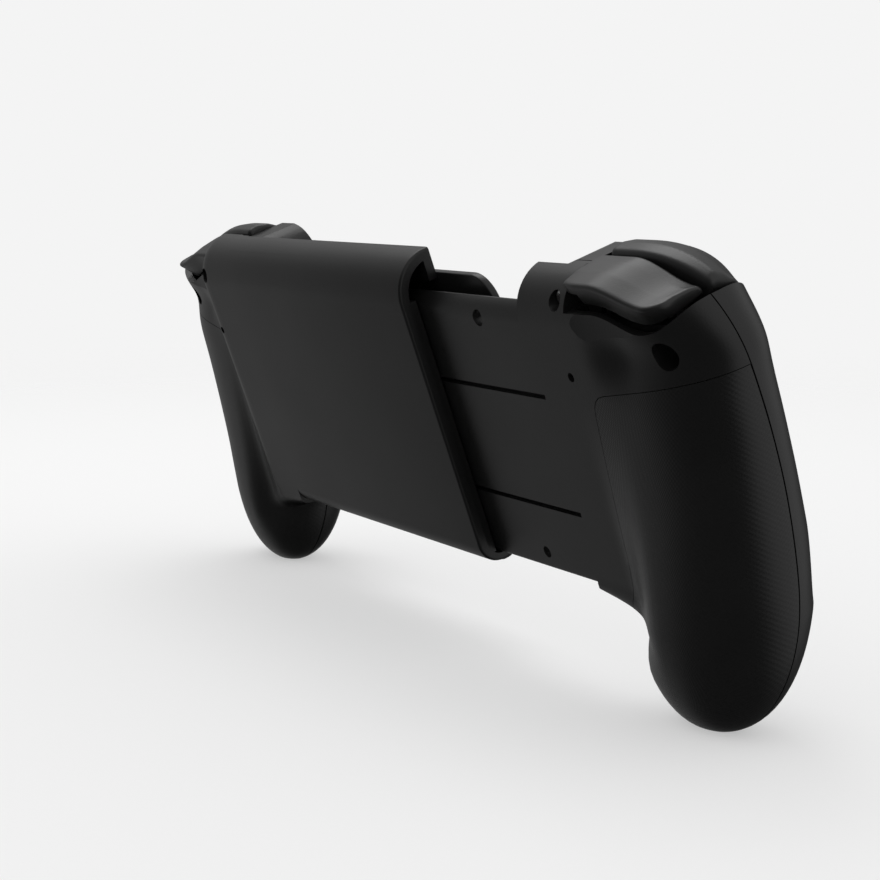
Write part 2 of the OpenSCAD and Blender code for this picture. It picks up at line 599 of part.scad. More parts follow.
module phone_pad(side) color(rubber) on_side(side) difference() {
  box([slot_d - 1.1, slot_y - slot_t + 0.6, slot_z - pad_z / 2],
    [slot_d - 0.02, slot_y - 0.4, slot_z + pad_z / 2]);
  if (side > 0) box([0, slot_y - 7, slot_z - 6], [20, slot_y - 1.6, slot_z + 6]);
}
module left_phone_pad() stand() phone_pad(-1);
module right_phone_pad() stand() phone_pad(1);
usb_y = slot_y - slot_t / 2;
module usb_plug() stand() color(steel) on_right() {
  box([-0.4, usb_y - 1.25, slot_z - 2.9], [slot_d, usb_y + 1.25, slot_z + 2.9]);
  for (s = [-1, 1]) rod_x(usb_y, slot_z + s * 2.9, 1.25, -0.4, slot_d);
  box([slot_d - 1, usb_y - 2, slot_z - 5], [slot_d - 0.02, usb_y + 2, slot_z + 5]);
}

module rest_shape() hull() {
  translate([-46, pod_top - 11.6]) circle(r = 8, $fn = 48);
  translate([-15.5, 28]) circle(r = 8, $fn = 48);
  translate([grip_x - 4.3, plate_hi - 1.3]) circle(r = 4, $fn = 32);
  translate([grip_x - 4.3, 24]) circle(r = 4, $fn = 32);
}
module phone_rest() stand() color(dark) difference() {
  union() {
    along_y(rest_y - rest_t, rest_y - 0.02) intersection() {
      rest_shape();
      translate([-80, 10]) square([160, 200]);
    }
    for (x = rest_x) box([x - 4, rest_y - rest_t, plate_hi - 14], [x + 4, rest_y - 0.02, rest_z + 3.4]);
    for (z = spring_z) rod_y(hook_x[1], z, 1.2, rest_y - 0.5, -3.6);
  }
  for (x = rest_x) {
    rod_y(x, rest_z, 1.1, -20, 0);
    rod_y(x, rest_z, 2, rest_y - rest_t - 1, rest_y - 1);
  }
}
module rest_pads() stand() color(rubber) for (z = [40, 84])
  box([-18, rest_y - rest_t - 0.48, z - 5], [grip_x - 14, rest_y - rest_t - 0.02, z + 5]);
module guide_pins() stand() color(steel) for (z = groove_z) {
  rod_y(-sleeve_end + 7.5, z, min(0.9, groove_w / 2 - 0.3), -1.2, 0.4);
  rod_y(-sleeve_end + 7.5, z, 0.9, 0.3, 3.3);
  rod_y(-sleeve_end + 7.5, z, 1.8, 0.9, 2.18);
}
module pull_springs() stand() color(steel) for (z = spring_z)
  rod_x(-5, z, 1.2, hook_x[0] + 1.6, hook_x[1] - 1.6);
module flex_cable() stand() color([0.75, 0.45, 0.15]) box([-30, -plate_t - 0.7, 56],
  [grip_x - 0.3, -plate_t - 0.3, 70]);
module rest_screws() stand() color(steel) for (x = rest_x) {
  rod_y(x, rest_z, 0.98, -8, lip_y - 0.6);
  rod_y(x, rest_z, 1.8, rest_y - 2, rest_y - 1.02);
}

left_rear_shell();
left_front_shell();
left_grip_cover();
left_trigger();
left_trigger_pin();
left_trigger_spring();
left_bumper();
left_bumper_pin();
left_bracket();
left_board();
left_stick_base();
left_stick_yoke();
left_stick_rocker();
left_stick_cap();
dpad_pivot();
dpad_cap();
dpad_membrane();
view_button();
capture_button();
left_switches();
left_screws();
left_phone_pad();
right_rear_shell();
right_front_shell();
right_grip_cover();
right_trigger();
right_trigger_pin();
right_trigger_spring();
right_bumper();
right_bumper_pin();
right_bracket();
right_board();
right_stick_base();
right_stick_yoke();
right_stick_rocker();
right_stick_cap();
button_up();
button_right();
button_down();
button_left();
face_membrane();
menu_button();
home_button();
right_switches();
right_screws();
right_phone_pad();
usb_plug();
phone_rest();
rest_pads();
guide_pins();
pull_springs();
flex_cable();
rest_screws();
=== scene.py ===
# %% [markdown]
# # A telescopic gamepad, dressed around its fixed frame
# The imported model gives the size, the place and the motion of every piece. This lesson gives it
# its looks. It starts by loading that model. A dressed piece may not grow past the size it was
# built to.

# %% Load the fixed frame
import json
import math
import bmesh
import bpy
import numpy as np
from mathutils import Matrix, Vector


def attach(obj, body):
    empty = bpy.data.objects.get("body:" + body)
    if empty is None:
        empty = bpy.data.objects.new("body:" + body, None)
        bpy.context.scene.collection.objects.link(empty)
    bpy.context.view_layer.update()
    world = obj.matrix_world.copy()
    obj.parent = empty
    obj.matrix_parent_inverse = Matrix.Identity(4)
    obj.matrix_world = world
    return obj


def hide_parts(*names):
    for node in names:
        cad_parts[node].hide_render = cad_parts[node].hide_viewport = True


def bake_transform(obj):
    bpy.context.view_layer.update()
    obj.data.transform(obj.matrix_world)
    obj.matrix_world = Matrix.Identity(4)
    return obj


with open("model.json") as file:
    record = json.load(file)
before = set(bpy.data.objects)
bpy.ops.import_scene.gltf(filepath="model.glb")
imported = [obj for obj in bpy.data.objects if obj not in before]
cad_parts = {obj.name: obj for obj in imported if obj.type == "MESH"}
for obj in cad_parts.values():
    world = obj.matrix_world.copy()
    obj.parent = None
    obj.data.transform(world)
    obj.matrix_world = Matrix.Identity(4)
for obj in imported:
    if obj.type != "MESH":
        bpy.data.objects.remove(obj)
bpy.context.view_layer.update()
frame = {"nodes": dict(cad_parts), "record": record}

# %% [markdown]
# ## One set of axes for drawing
# The gamepad stands on its grip ends and leans back. Drawing leaned forms is awkward, so every
# form here is drawn upright in millimetres, with x to the right grip, y to the back and z up.
# One matrix then leans it, shrinks it to metres and sets it on the floor.

# %% The upright drawing frame
MM = 0.001
LEAN = math.radians(20)
STAND_Y, STAND_Z = -9.6969, -0.501819  # sets the leaned form over its feet and on the floor
STAND = (Matrix.Translation((0, STAND_Y * MM, STAND_Z * MM))
         @ Matrix.Rotation(-LEAN, 4, "X") @ Matrix.Scale(MM, 4))
GRIP_X = 74.0  # a grip's own axes start this far to the left or right of the middle
print("stands", round((STAND @ Vector((0, 0, 100))).z * 1000, 1), "mm high at z = 100")

# %% [markdown]
# ## The form of a grip
# A grip is a swelling handle below and a flat housing above. It could be sculpted, but a moulder
# draws it as sections, so it is made the same way here: each height has an oval whose widths come
# from a few smooth curves. The curves are the ones the solid model was built from, so the dressed
# skin lies on the solid, only with many more sections, which makes it smooth.

# %% Sizes of the grip
MIDDLE, HALF, DEEP = 33.0, 25.4, 17.0  # a handle's middle line, half width and half depth
FULL, TIP_POWER = 36.0, 2.2  # height at which a handle is full, and the roundness of its tip
AXIS_Y, AXIS_SLOPE = -1.3, 0.27  # a handle's middle line runs forward as it rises
TOP = {-1: 105.0, 1: 108.0}  # tops of the left and right housings
RISE, FRONT = 4.8, -27.0  # how far the right housing's back stands out, and the front face
ROUND_BACK, ROUND_FRONT = 11.0, 6.0  # radii along a housing's top edges
WALL, COVER = 2.2, 1.5  # thickness of a shell and of a grip cover
BULGE, BULGE_END, BULGE_POWER = 26.0, 80.0, 1.5  # the rear bulge: where it is full and gone, its fading
SHOULDER, SHOULDER_Z, SHOULDER_TALL = 9.0, 84.0, 21.0  # how the outer top corner falls in
NECK, NECK_Z, NECK_TALL = 2.4, 87.0, 6.0  # the shallow waist under a trigger
INNER, INNER_REACH = 0.9, 4  # inner half of a handle against its outer half; overlap past the inner face
INNER_SPAN = 0.996  # the inner half stops just short of its last point, so that no points meet
OVAL_POWER = (2.05, 2.4)  # roundness of the sections, low and high
# Spans over which one form turns into the next, upward (Z) or outward (U).
HOUSING_Z, WIDER_Z, FRONT_Z, OVAL_Z, BACK_Z = (21, 28.4), (40, 75), (26, 45), (20, 60), (12, 30)
SLEEVE_U, BACK_U, NECK_U = (15, 27), (14, 32), (22, 36)
print("a handle is", 2 * HALF, "mm wide and", 2 * DEEP, "mm deep")

# %% Curves of the grip


def smooth(a, b, t):
    """0 up to a, 1 from b on, with an easy slope between."""
    s = np.clip((np.asarray(t, float) - a) / (b - a), 0, 1)
    return s * s * (3 - 2 * s)


def mix(a, b, t):
    return a + (b - a) * t


def taper(z):
    if z >= FULL:
        return 1.0
    return max(0.0004, 1 - ((FULL - z) / FULL) ** TIP_POWER) ** (1 / TIP_POWER)


def housing(z):
    return float(smooth(*HOUSING_Z, z))


def centre_line(z):
    return AXIS_Y - AXIS_SLOPE * z


def half_out(z):
    fall = min(1, max(0, (z - SHOULDER_Z) / SHOULDER_TALL)) ** 2
    return HALF * taper(z) + float(smooth(*WIDER_Z, z)) - SHOULDER * fall


def half_in(z):
    return mix(INNER * HALF * taper(z), MIDDLE + INNER_REACH, housing(z))


def grip_back(z):
    if z < BULGE:
        return centre_line(z) + DEEP * taper(z)
    kept = max(0, (BULGE_END - z) / (BULGE_END - BULGE)) ** BULGE_POWER
    return (centre_line(BULGE) + DEEP * taper(BULGE)) * kept


def round_off(z, top, r):
    return r - math.sqrt(max(0, r * r - (z - top + r) ** 2)) if z > top - r else 0.0


def back_y(u, z, side):
    flat = RISE * (1 - smooth(*SLEEVE_U, u)) if side > 0 else 0 * np.asarray(u, float)
    y = mix(flat, grip_back(z), mix(1, smooth(*BACK_U, u), smooth(*BACK_Z, z)))
    neck = NECK * math.exp(-((z - NECK_Z) / NECK_TALL) ** 2) * smooth(*NECK_U, u)
    return y - neck - round_off(z, TOP[side], ROUND_BACK)


def front_y(z, side):
    low = centre_line(min(z, BULGE)) - DEEP * taper(min(z, BULGE))
    return mix(low, FRONT, float(smooth(*FRONT_Z, z))) + round_off(z, TOP[side], ROUND_FRONT)


def oval(p, z):
    n = mix(*OVAL_POWER, float(smooth(*OVAL_Z, z)))
    return np.maximum(0, 1 - p ** n) ** (1 / n)


print("a grip is", round(half_out(60) + half_in(20), 1), "mm wide")

# %% Section of a grip


def section(z, side, inset, reach, n):
    """Closed outline of a grip at height z, inset mm under its skin, reaching that far inward."""
    s = np.sin(np.radians(np.linspace(0, 90, n + 1)))

    def points(u, q):
        back, front = back_y(u, z, side) - inset, front_y(z, side) + inset
        return np.stack([u, mix(front, back, (1 + q) / 2), np.full(len(u), z)], 1)
    out_u, out_q = MIDDLE + s * (half_out(z) - inset), oval(s, z)
    p = INNER_SPAN * s
    in_u, in_q = MIDDLE - p * reach, mix(oval(p, z), 1.0, housing(z))
    return np.concatenate([points(out_u[:0:-1], out_q[:0:-1]), points(in_u, in_q),
                           points(in_u[::-1], -in_q[::-1]), points(out_u[1:-1], -out_q[1:-1])])


print("points round a grip:", len(section(60, 1, 0, half_in(60), 26)))

# %% [markdown]
# ## Tools for solid work
# Every moulding is cut from a solid, as it would be in a workshop: a skin over sections, a prism,
# a rod, a turned form and a box, joined and cut with booleans. Each tool draws a closed mesh in
# millimetres. A cutter is thrown away once it has been used.

# %% Tools that draw a solid
scene = bpy.context.scene
root = scene.collection


def solid(points, faces):
    mesh = bpy.data.meshes.new("tool")
    mesh.from_pydata([tuple(map(float, p)) for p in points], [], faces)
    bm = bmesh.new()
    bm.from_mesh(mesh)
    bmesh.ops.recalc_face_normals(bm, faces=bm.faces)
    bm.to_mesh(mesh)
    bm.free()
    made = bpy.data.objects.new("tool", mesh)
    root.objects.link(made)
    return made


def skin(rows):
    """Closed skin over sections with the same number of points."""
    m, n = len(rows), len(rows[0])
    faces = [list(range(n)), list(range((m - 1) * n, m * n))]
    faces += [[j * n + i, j * n + (i + 1) % n, (j + 1) * n + (i + 1) % n, (j + 1) * n + i]
              for j in range(m - 1) for i in range(n)]
    return solid(np.concatenate(rows), faces)


def prism(axis, lo, hi, outline):
    """Outline drawn in the other two axes, in their order, pulled from lo to hi along axis."""
    def place(p, a):
        p = list(p)
        p.insert("xyz".index(axis), a)
        return p
    return skin([[place(p, a) for p in outline] for a in (lo, hi)])


def circle(at, r, sides=48):
    turn = np.radians(np.arange(sides) * 360 / sides)
    return [(at[0] + r * math.cos(t), at[1] + r * math.sin(t)) for t in turn]


def rod(axis, at, r, lo, hi, sides=48):
    return prism(axis, lo, hi, circle(at, r, sides))


def block(a, b):
    return prism("z", a[2], b[2], [(a[0], a[1]), (b[0], a[1]), (b[0], b[1]), (a[0], b[1])])


def turned(profile, at, y, toward=-1, sides=64):
    """Turned form about a line along y, from points (radius, distance from y), to front or back."""
    return skin([[(p[0], y + toward * h, p[1]) for p in circle(at, r, sides)] for r, h in profile])


def ball(centre, radii, sides=72):
    """Ellipsoid, as rings from its foot to its top."""
    rows = []
    for a in np.radians(np.linspace(1.5, 178.5, 60)):
        ring = circle((0, 0), math.sin(a), sides)
        z = centre[2] - radii[2] * math.cos(a)
        rows.append([(centre[0] + radii[0] * x, centre[1] + radii[1] * y, z) for x, y in ring])
    return skin(rows)


print("drawing tools ready")

# %% Tools that cut, join and ease a solid
EASED_FROM = math.radians(35)  # an edge that turns by more than this is rounded


def settle(made):
    """Keep the result of the modifiers as the mesh."""
    graph = bpy.context.evaluated_depsgraph_get()
    done = bpy.data.meshes.new_from_object(made.evaluated_get(graph))
    made.modifiers.clear()
    old, made.data = made.data, done
    bpy.data.meshes.remove(old)
    return made


def combine(base, how, *tools):
    """Boolean of base with one or more tools, which are used up."""
    for tool in tools:
        step = base.modifiers.new("work", "BOOLEAN")
        step.operation, step.solver, step.object = how, "MANIFOLD", tool
    settle(base)
    for tool in tools:
        mesh = tool.data
        bpy.data.objects.remove(tool)
        bpy.data.meshes.remove(mesh)
    return base


def cut(base, *tools):
    return combine(base, "DIFFERENCE", *tools)


def join(base, *tools):
    return combine(base, "UNION", *tools)


def eased(made, width, steps=3):
    """Round the sharp edges, as a mould rounds them."""
    step = made.modifiers.new("ease", "BEVEL")
    step.width, step.segments = width, steps
    step.limit_method, step.angle_limit = "ANGLE", EASED_FROM
    return settle(made)


def softened(corners, r, n=4):
    """Corners of a closed outline, each replaced by a short curve of about radius r."""
    pts = np.asarray(corners, float)
    made = []
    for k in range(len(pts)):
        before, here, after = pts[k - 1], pts[k], pts[(k + 1) % len(pts)]
        a, b = before - here, after - here
        la, lb = np.linalg.norm(a), np.linalg.norm(b)
        start = here + a / la * min(r, 0.45 * la)
        end = here + b / lb * min(r, 0.45 * lb)
        for t in np.linspace(0, 1, n + 1):
            made.append((1 - t) ** 2 * start + 2 * t * (1 - t) * here + t * t * end)
    return np.array(made)


print("cutting tools ready")

# %% [markdown]
# ## Finishes
# The whole gamepad is dark plastic, so its look comes from small things: a fine spark-eroded grain
# in the moulding, a slightly uneven sheen where hands rub it, and a fine dot texture on the grip
# covers. Grain and rubbing are used by several plastics, so each is a node group made once.

# %% Tools for shader nodes


def group(name, inputs, outputs):
    tree = bpy.data.node_groups.new(name, "ShaderNodeTree")
    for label, value in inputs:
        socket = tree.interface.new_socket(label, in_out="INPUT", socket_type="NodeSocketFloat")
        socket.default_value = value
    for label, kind in outputs:
        tree.interface.new_socket(label, in_out="OUTPUT", socket_type=kind)
    return tree, tree.nodes.new("NodeGroupInput"), tree.nodes.new("NodeGroupOutput")


def node(tree, kind, links=(), **settings):
    made = tree.nodes.new(kind)
    for key, value in settings.items():
        setattr(made, key, value)
    for socket, source in links:
        if isinstance(source, (int, float, tuple)):
            made.inputs[socket].default_value = source
        else:
            tree.links.new(source, made.inputs[socket])
    return made


def maths(tree, how, a, b):
    return node(tree, "ShaderNodeMath", [(0, a), (1, b)], operation=how).outputs[0]


print("node tools ready")

# %% Shared surface effects


def sparked_grain():
    """Fine moulded grain: a height for the bump and a change of roughness."""
    tree, enter, leave = group(
        "sparked grain", [("Size per metre", 2200), ("Roughness", 0.45), ("Unevenness", 0.08)],
        [("Height", "NodeSocketFloat"), ("Roughness", "NodeSocketFloat")])
    place = node(tree, "ShaderNodeTexCoord").outputs["Object"]
    size = enter.outputs["Size per metre"]
    grain = node(tree, "ShaderNodeTexNoise", [("Vector", place), ("Scale", size), ("Detail", 3.0)])
    rub = node(tree, "ShaderNodeTexNoise", [("Vector", place), ("Scale", 38.0), ("Detail", 4.0)])
    lift = maths(tree, "SUBTRACT", rub.outputs["Fac"], 0.5)
    part = maths(tree, "MULTIPLY", lift, enter.outputs["Unevenness"])
    tree.links.new(grain.outputs["Fac"], leave.inputs["Height"])
    tree.links.new(maths(tree, "ADD", part, enter.outputs["Roughness"]), leave.inputs["Roughness"])
    return tree


def hand_rub():
    """Very faint change of tone, from dust in the grain to a rubbed patch."""
    tree, enter, leave = group("hand rub", [("Dark", 0.02), ("Light", 0.026)],
                               [("Color", "NodeSocketColor")])
    place = node(tree, "ShaderNodeTexCoord").outputs["Object"]
    patch = node(tree, "ShaderNodeTexNoise", [("Vector", place), ("Scale", 24.0), ("Detail", 6.0)])
    span = node(tree, "ShaderNodeMapRange", [
        ("Value", patch.outputs["Fac"]), ("From Min", 0.35), ("From Max", 0.65),
        ("To Min", enter.outputs["Dark"]), ("To Max", enter.outputs["Light"])])
    tone = node(tree, "ShaderNodeCombineColor", [(k, span.outputs[0]) for k in range(3)])
    tree.links.new(tone.outputs[0], leave.inputs["Color"])
    return tree


def grip_dots():
    """Rows of fine dots wound round a grip, from the height along it and the angle round it."""
    tree, enter, leave = group("grip dots", [("Dots round", 120), ("Rows per metre", 5700)],
                               [("Height", "NodeSocketFloat")])
    place = node(tree, "ShaderNodeTexCoord").outputs["Object"]
    upright = node(tree, "ShaderNodeMapping", [("Vector", place), ("Rotation", (LEAN, 0.0, 0.0))])
    axes = node(tree, "ShaderNodeSeparateXYZ", [("Vector", upright.outputs[0])])
    away = maths(tree, "ABSOLUTE", axes.outputs["X"], 0.0)
    across = maths(tree, "SUBTRACT", away, (GRIP_X + MIDDLE) * MM)
    sink = maths(tree, "MULTIPLY", axes.outputs["Z"], AXIS_SLOPE)
    turn = maths(tree, "ARCTAN2", across, maths(tree, "ADD", axes.outputs["Y"], sink))
    winding = maths(tree, "MULTIPLY", turn, enter.outputs["Dots round"])
    rising = maths(tree, "MULTIPLY", axes.outputs["Z"], enter.outputs["Rows per metre"])
    waves = [maths(tree, "COSINE", angle, 0.0) for angle in (winding, rising)]
    tree.links.new(maths(tree, "MULTIPLY", *waves), leave.inputs["Height"])
    return tree


GRAIN, RUB, DOTS = sparked_grain(), hand_rub(), grip_dots()
print("effects:", [g.name for g in bpy.data.node_groups])

# %% Plastics, rubber and steel
GRAIN_DEEP, DOT_DEEP = 0.0002, 0.0001  # in metres


def finish(name, dark, light, rough, sheen=0.5, grain=2200, depth=0.12, metal=0.0, dots=0.0):
    """Tone from hand rub, grain from the sparked mould, and dots where they are asked for."""
    made = bpy.data.materials.new(name)
    made.use_nodes = True
    tree = made.node_tree
    shader = tree.nodes["Principled BSDF"]
    shader.inputs["Specular IOR Level"].default_value = sheen
    shader.inputs["Metallic"].default_value = metal
    tone = node(tree, "ShaderNodeGroup", node_tree=RUB)
    tone.inputs["Dark"].default_value, tone.inputs["Light"].default_value = dark, light
    face = node(tree, "ShaderNodeGroup", node_tree=GRAIN)
    face.inputs["Size per metre"].default_value = grain
    face.inputs["Roughness"].default_value = rough
    bump = node(tree, "ShaderNodeBump", [("Height", face.outputs["Height"]), ("Strength", depth),
                                         ("Distance", GRAIN_DEEP)])
    if dots:
        rows = node(tree, "ShaderNodeGroup", node_tree=DOTS)
        bump = node(tree, "ShaderNodeBump", [("Height", rows.outputs["Height"]), ("Strength", dots),
                                             ("Distance", DOT_DEEP), ("Normal", bump.outputs["Normal"])])
    tree.links.new(tone.outputs["Color"], shader.inputs["Base Color"])
    tree.links.new(face.outputs["Roughness"], shader.inputs["Roughness"])
    tree.links.new(bump.outputs["Normal"], shader.inputs["Normal"])
    return made


CASING = {"dark": 0.004, "light": 0.0055, "rough": 0.34, "sheen": 0.32}
SHELL = finish("satin shell plastic", **CASING)
SKIN = finish("dotted grip plastic", **CASING, dots=0.14)
CONTROL = finish("satin control plastic", dark=0.006, light=0.008, rough=0.38, sheen=0.4)
RUBBER = finish("dull rubber", dark=0.012, light=0.018, rough=0.72, sheen=0.3, grain=1400, depth=0.25)
STEEL = finish("plain steel", dark=0.42, light=0.56, rough=0.30, metal=1.0, grain=5200, depth=0.05)
print("finishes:", [m.name for m in (SHELL, SKIN, CONTROL, RUBBER, STEEL)])

# %% Circuit board and flat cable


def striped(name, ground, line, rough, kind, size):
    """A base colour with printed lines on it: green mask over copper, or amber film over copper."""
    made = bpy.data.materials.new(name)
    made.use_nodes = True
    tree = made.node_tree
    shader = tree.nodes["Principled BSDF"]
    place = node(tree, "ShaderNodeTexCoord").outputs["Object"]
    if kind == "tracks":
        print_on = node(tree, "ShaderNodeTexBrick", [
            ("Vector", place), ("Scale", size), ("Color1", ground), ("Color2", ground),
            ("Mortar", line), ("Mortar Size", 0.03)])
        tree.links.new(print_on.outputs["Color"], shader.inputs["Base Color"])
    else:
        wave = node(tree, "ShaderNodeTexWave", [("Vector", place), ("Scale", size)], bands_direction="Z")
        tone = node(tree, "ShaderNodeMix", [("Factor", wave.outputs["Fac"]), (6, ground), (7, line)],
                    data_type="RGBA")
        tree.links.new(tone.outputs[2], shader.inputs["Base Color"])
    face = node(tree, "ShaderNodeGroup", node_tree=GRAIN)
    face.inputs["Roughness"].default_value = rough
    tree.links.new(face.outputs["Roughness"], shader.inputs["Roughness"])
    return made


BOARD = striped("green laminate", ground=(0.004, 0.016, 0.009, 1), line=(0.01, 0.036, 0.02, 1),
                rough=0.35, kind="tracks", size=320)
FILM = striped("amber film", ground=(0.30, 0.13, 0.03, 1), line=(0.46, 0.22, 0.08, 1),
               rough=0.30, kind="bands", size=260)
FINISH = {"shell": SHELL, "cover": SKIN, "control": CONTROL, "rubber": RUBBER, "steel": STEEL,
          "board": BOARD, "ribbon": FILM}
print("finishes by slot:", sorted(FINISH))

# %% [markdown]
# ## Shells of a grip
# Each half is two shells that meet at a curved parting line, with a textured cover let into the
# back one. The pod is drawn once with fine sections, hollowed, split and pierced. Under the trigger
# the back is pressed in by a shallow hollow for the finger, and that hollow has a crisp edge.

# %% The pod and its cavity
RIM_U, RIM_LOW = 18.2, 93.6  # inner end and lowest line of the opening for the triggers
CAVITY_Z = (6, 11, 18, 23, 27.5, 36, 48, 62, 74, 82, 88, 91, 95, 99)
CAVITY_U, CAVITY_STEP, CAVITY_THIN = 9.0, (89, 92), (82, 91)  # inner wall, and where it steps


def heights(side):
    tip = FULL * (1 - np.cos(np.radians(np.linspace(3, 60, 16))))
    top = TOP[side] - ROUND_BACK
    end = top + (ROUND_BACK - 0.05) * np.sin(np.radians(np.linspace(0, 90, 15)))
    return np.concatenate([tip, np.linspace(19, top - 1.2, 62), end])


def pod(side, inset=0.0, n=26):
    rows = [section(z, side, inset, half_in(z) - inset, n)
            for z in heights(side) if 2 * inset < z < TOP[side] - inset or inset == 0]
    return skin(rows)


def cavity(side):
    rows = []
    for z in CAVITY_Z:
        reach = mix(MIDDLE - CAVITY_U, MIDDLE - RIM_U - 1, float(smooth(*CAVITY_STEP, z)))
        reach = mix(INNER * HALF * taper(z) - WALL - COVER, reach, housing(z))
        inset = WALL + mix(COVER, -0.2, float(smooth(*CAVITY_THIN, z)))
        rows.append(section(z, side, inset, reach, 10))
    return skin(rows)


print("sections on a pod:", len(heights(1)))

# %% Parting line, cover and trigger opening
SEAM_Y, SEAM_Z, SEAM_LOW, SEAM_HIGH, SEAM_TALL = -14.8, 60, 15.48, 3.44, 45  # the parting line
SEAM_GAP, COVER_GAP, COVER_SEAM_GAP = 0.15, 0.14, 0.25
COVER_TOP, COVER_CORNER, COVER_ROUND = (75, 86), (20.6, 78.1), 4.5
COVER_SIDE = [(16, 37), (14.4, 30), (11, 20), (9, -12)]
RIM_IN, RIM_OUT, RIM_DIP, RIM_SPAN = 3.6, 4.6, (27, 43), 10.5  # how the opening's edge rises
TIP_U, TIP_Z, TIP_SLOPE = 54.5, 99, 0.2  # the edge's outer tip is cut off here


def seam(z):
    if z < SEAM_Z:
        return SEAM_Y + SEAM_LOW * ((SEAM_Z - z) / SEAM_Z) ** 2
    return SEAM_Y + SEAM_HIGH * ((z - SEAM_Z) / SEAM_TALL) ** 2


def parting(rear, gap):
    """All that lies behind the parting line, or in front of it."""
    line = [(seam(z) + gap, z) for z in np.arange(-10, 119, 2)]
    far = 60 if rear else -70
    return prism("x", -20, 90, line + [(far, 118), (far, -10)])


def cover_zone(gap):
    """The part of the back that the grip cover takes up, grown by gap."""
    top = (COVER_TOP[0], COVER_TOP[1] + gap)
    side = [(u - gap, z) for u, z in COVER_SIDE]
    corner = softened([top, (COVER_CORNER[0] - gap, COVER_CORNER[1] + gap), side[0]], COVER_ROUND)[5:10]
    return prism("y", -40, 40, [top, *corner, *side, (COVER_TOP[0], COVER_SIDE[-1][1])])


def rim(u):
    rise = RIM_OUT * (max(0, u - RIM_DIP[1]) / RIM_SPAN) ** 2
    return RIM_LOW + RIM_IN * (1 - float(smooth(*RIM_DIP, u))) + rise


def gate():
    """The opening that a trigger and a bumper stand in."""
    line = [(u, min(rim(u), TIP_Z + TIP_SLOPE * max(0, u - TIP_U))) for u in np.arange(RIM_U, 60.1, 0.7)]
    return prism("y", -60, 40, line + [(80, line[-1][1]), (80, 130), (RIM_U, 130)])


print("the opening's edge is at", [round(rim(u), 1) for u in (RIM_U, *RIM_DIP)])

# %% Finger hollow, floor and slot
HOLLOW_AT, HOLLOW_SIZE = (38, 10, RIM_LOW + 5.4), (40.6, 11.4, 24)
HOLLOW_NEAR = 0.004  # how near to its surface a point counts as on it
SLOT_Y, SLOT_Z = -9.4, 65.4  # rear wall and middle height of the slot in a grip
SLOT_T, SLOT_D, SLOT_H = 8.8, 6.5, 77.0  # its width, depth and height
REST_Y = -6.9  # back of the rest
SCOOP_R, SCOOP_Z = 14, 91  # the round cut in front of the slot's upper end


def finger_hollow(side):
    start = 27 if side > 0 else 0
    return combine(ball(HOLLOW_AT, HOLLOW_SIZE, 120), "INTERSECT",
                   block((start, -20, RIM_LOW - 20), (60, 1, RIM_LOW + 20)))


def on_hollow(points, side):
    """Which points of a shell, in the drawing frame, lie on the finger hollow."""
    inward = np.column_stack([points[:, 0] * side - GRIP_X, points[:, 1], points[:, 2]])
    return np.abs((((inward - HOLLOW_AT) / HOLLOW_SIZE) ** 2).sum(1) - 1) < HOLLOW_NEAR


def floor_block(side):
    made = block((-300, -300, -60), (300, 300, 0))
    made.data.transform(STAND.inverted() @ Matrix.Scale(MM, 4))
    made.data.transform(Matrix.Translation((-GRIP_X * side, 0, 0)))
    return made


def slot_cutters(side):
    low, high = SLOT_Z - SLOT_H / 2, SLOT_Z + SLOT_H / 2
    tools = [block((-1, SLOT_Y - SLOT_T, low), (SLOT_D, SLOT_Y + 0.1, high))]
    if side > 0:
        tools.append(block((-1, -60, 104.4), (RIM_U + 1, REST_Y - 0.4, 120)))
    bend = [(SCOOP_R - SCOOP_R * math.cos(t), SCOOP_Z + SCOOP_R * math.sin(t))
            for t in np.radians(np.linspace(0, 90, 15))]
    tools.append(prism("y", -60, SLOT_Y + 0.1, [(-2, 120), (-2, SCOOP_Z)] + bend + [(SCOOP_R, 120)]))
    return tools


def shell_cutters(side, rear):
    """What cuts both shells of a grip: parting line, opening, inner face, floor and slot."""
    parted = parting(False, SEAM_GAP) if rear else parting(True, -SEAM_GAP)
    inner_face = block((-20, -60, -20), (0, 60, 140))
    return [parted, gate(), inner_face, floor_block(side)] + slot_cutters(side)


print("a slot is", SLOT_H, "mm high and", SLOT_D, "mm deep")

# %% How the rear shells are cut
SCREW_LOW, SCREW_MID, SCREW_TOP = (47.5, 44), (46.5, 88.5), (14.6, 99.4)
SMALL, SMALL_SEAT = [(14.5, 84), (14.5, 36)], (-23.2, -21.0)
DPAD, LEFT_STICK, RIGHT_STICK, FACE = (26, 48), (31, 79), (27, 48), (32, 77)
FACE_RING, FACE_R, SMALL_R, STICK_HOLE = 9.2, 4.7, 2.5, 11.0
FACES = [(FACE[0] + FACE_RING * math.cos(t), FACE[1] + FACE_RING * math.sin(t))
         for t in np.radians([0, 90, 180, 270])]
BOSS_R, HEAD_HOLE, TOP_HOLE, PILOT_HOLE = 4.1, 3.2, 2.1, 1.25  # radii round the screws
DIMPLE, DIMPLE_R = (14.6, 82.2), 1.1  # small hole above the cover's corner
NAMES = {-1: "left", 1: "right"}


def to_side(made, side):
    """From a grip's own axes to the drawing frame, mirrored for the left grip."""
    made.data.transform(Matrix.Translation((GRIP_X * side, 0, 0)) @ Matrix.Diagonal((side, 1, 1, 1)))
    if side < 0:
        made.data.flip_normals()
    return made


def hollow_pod(side):
    return cut(pod(side), cavity(side))


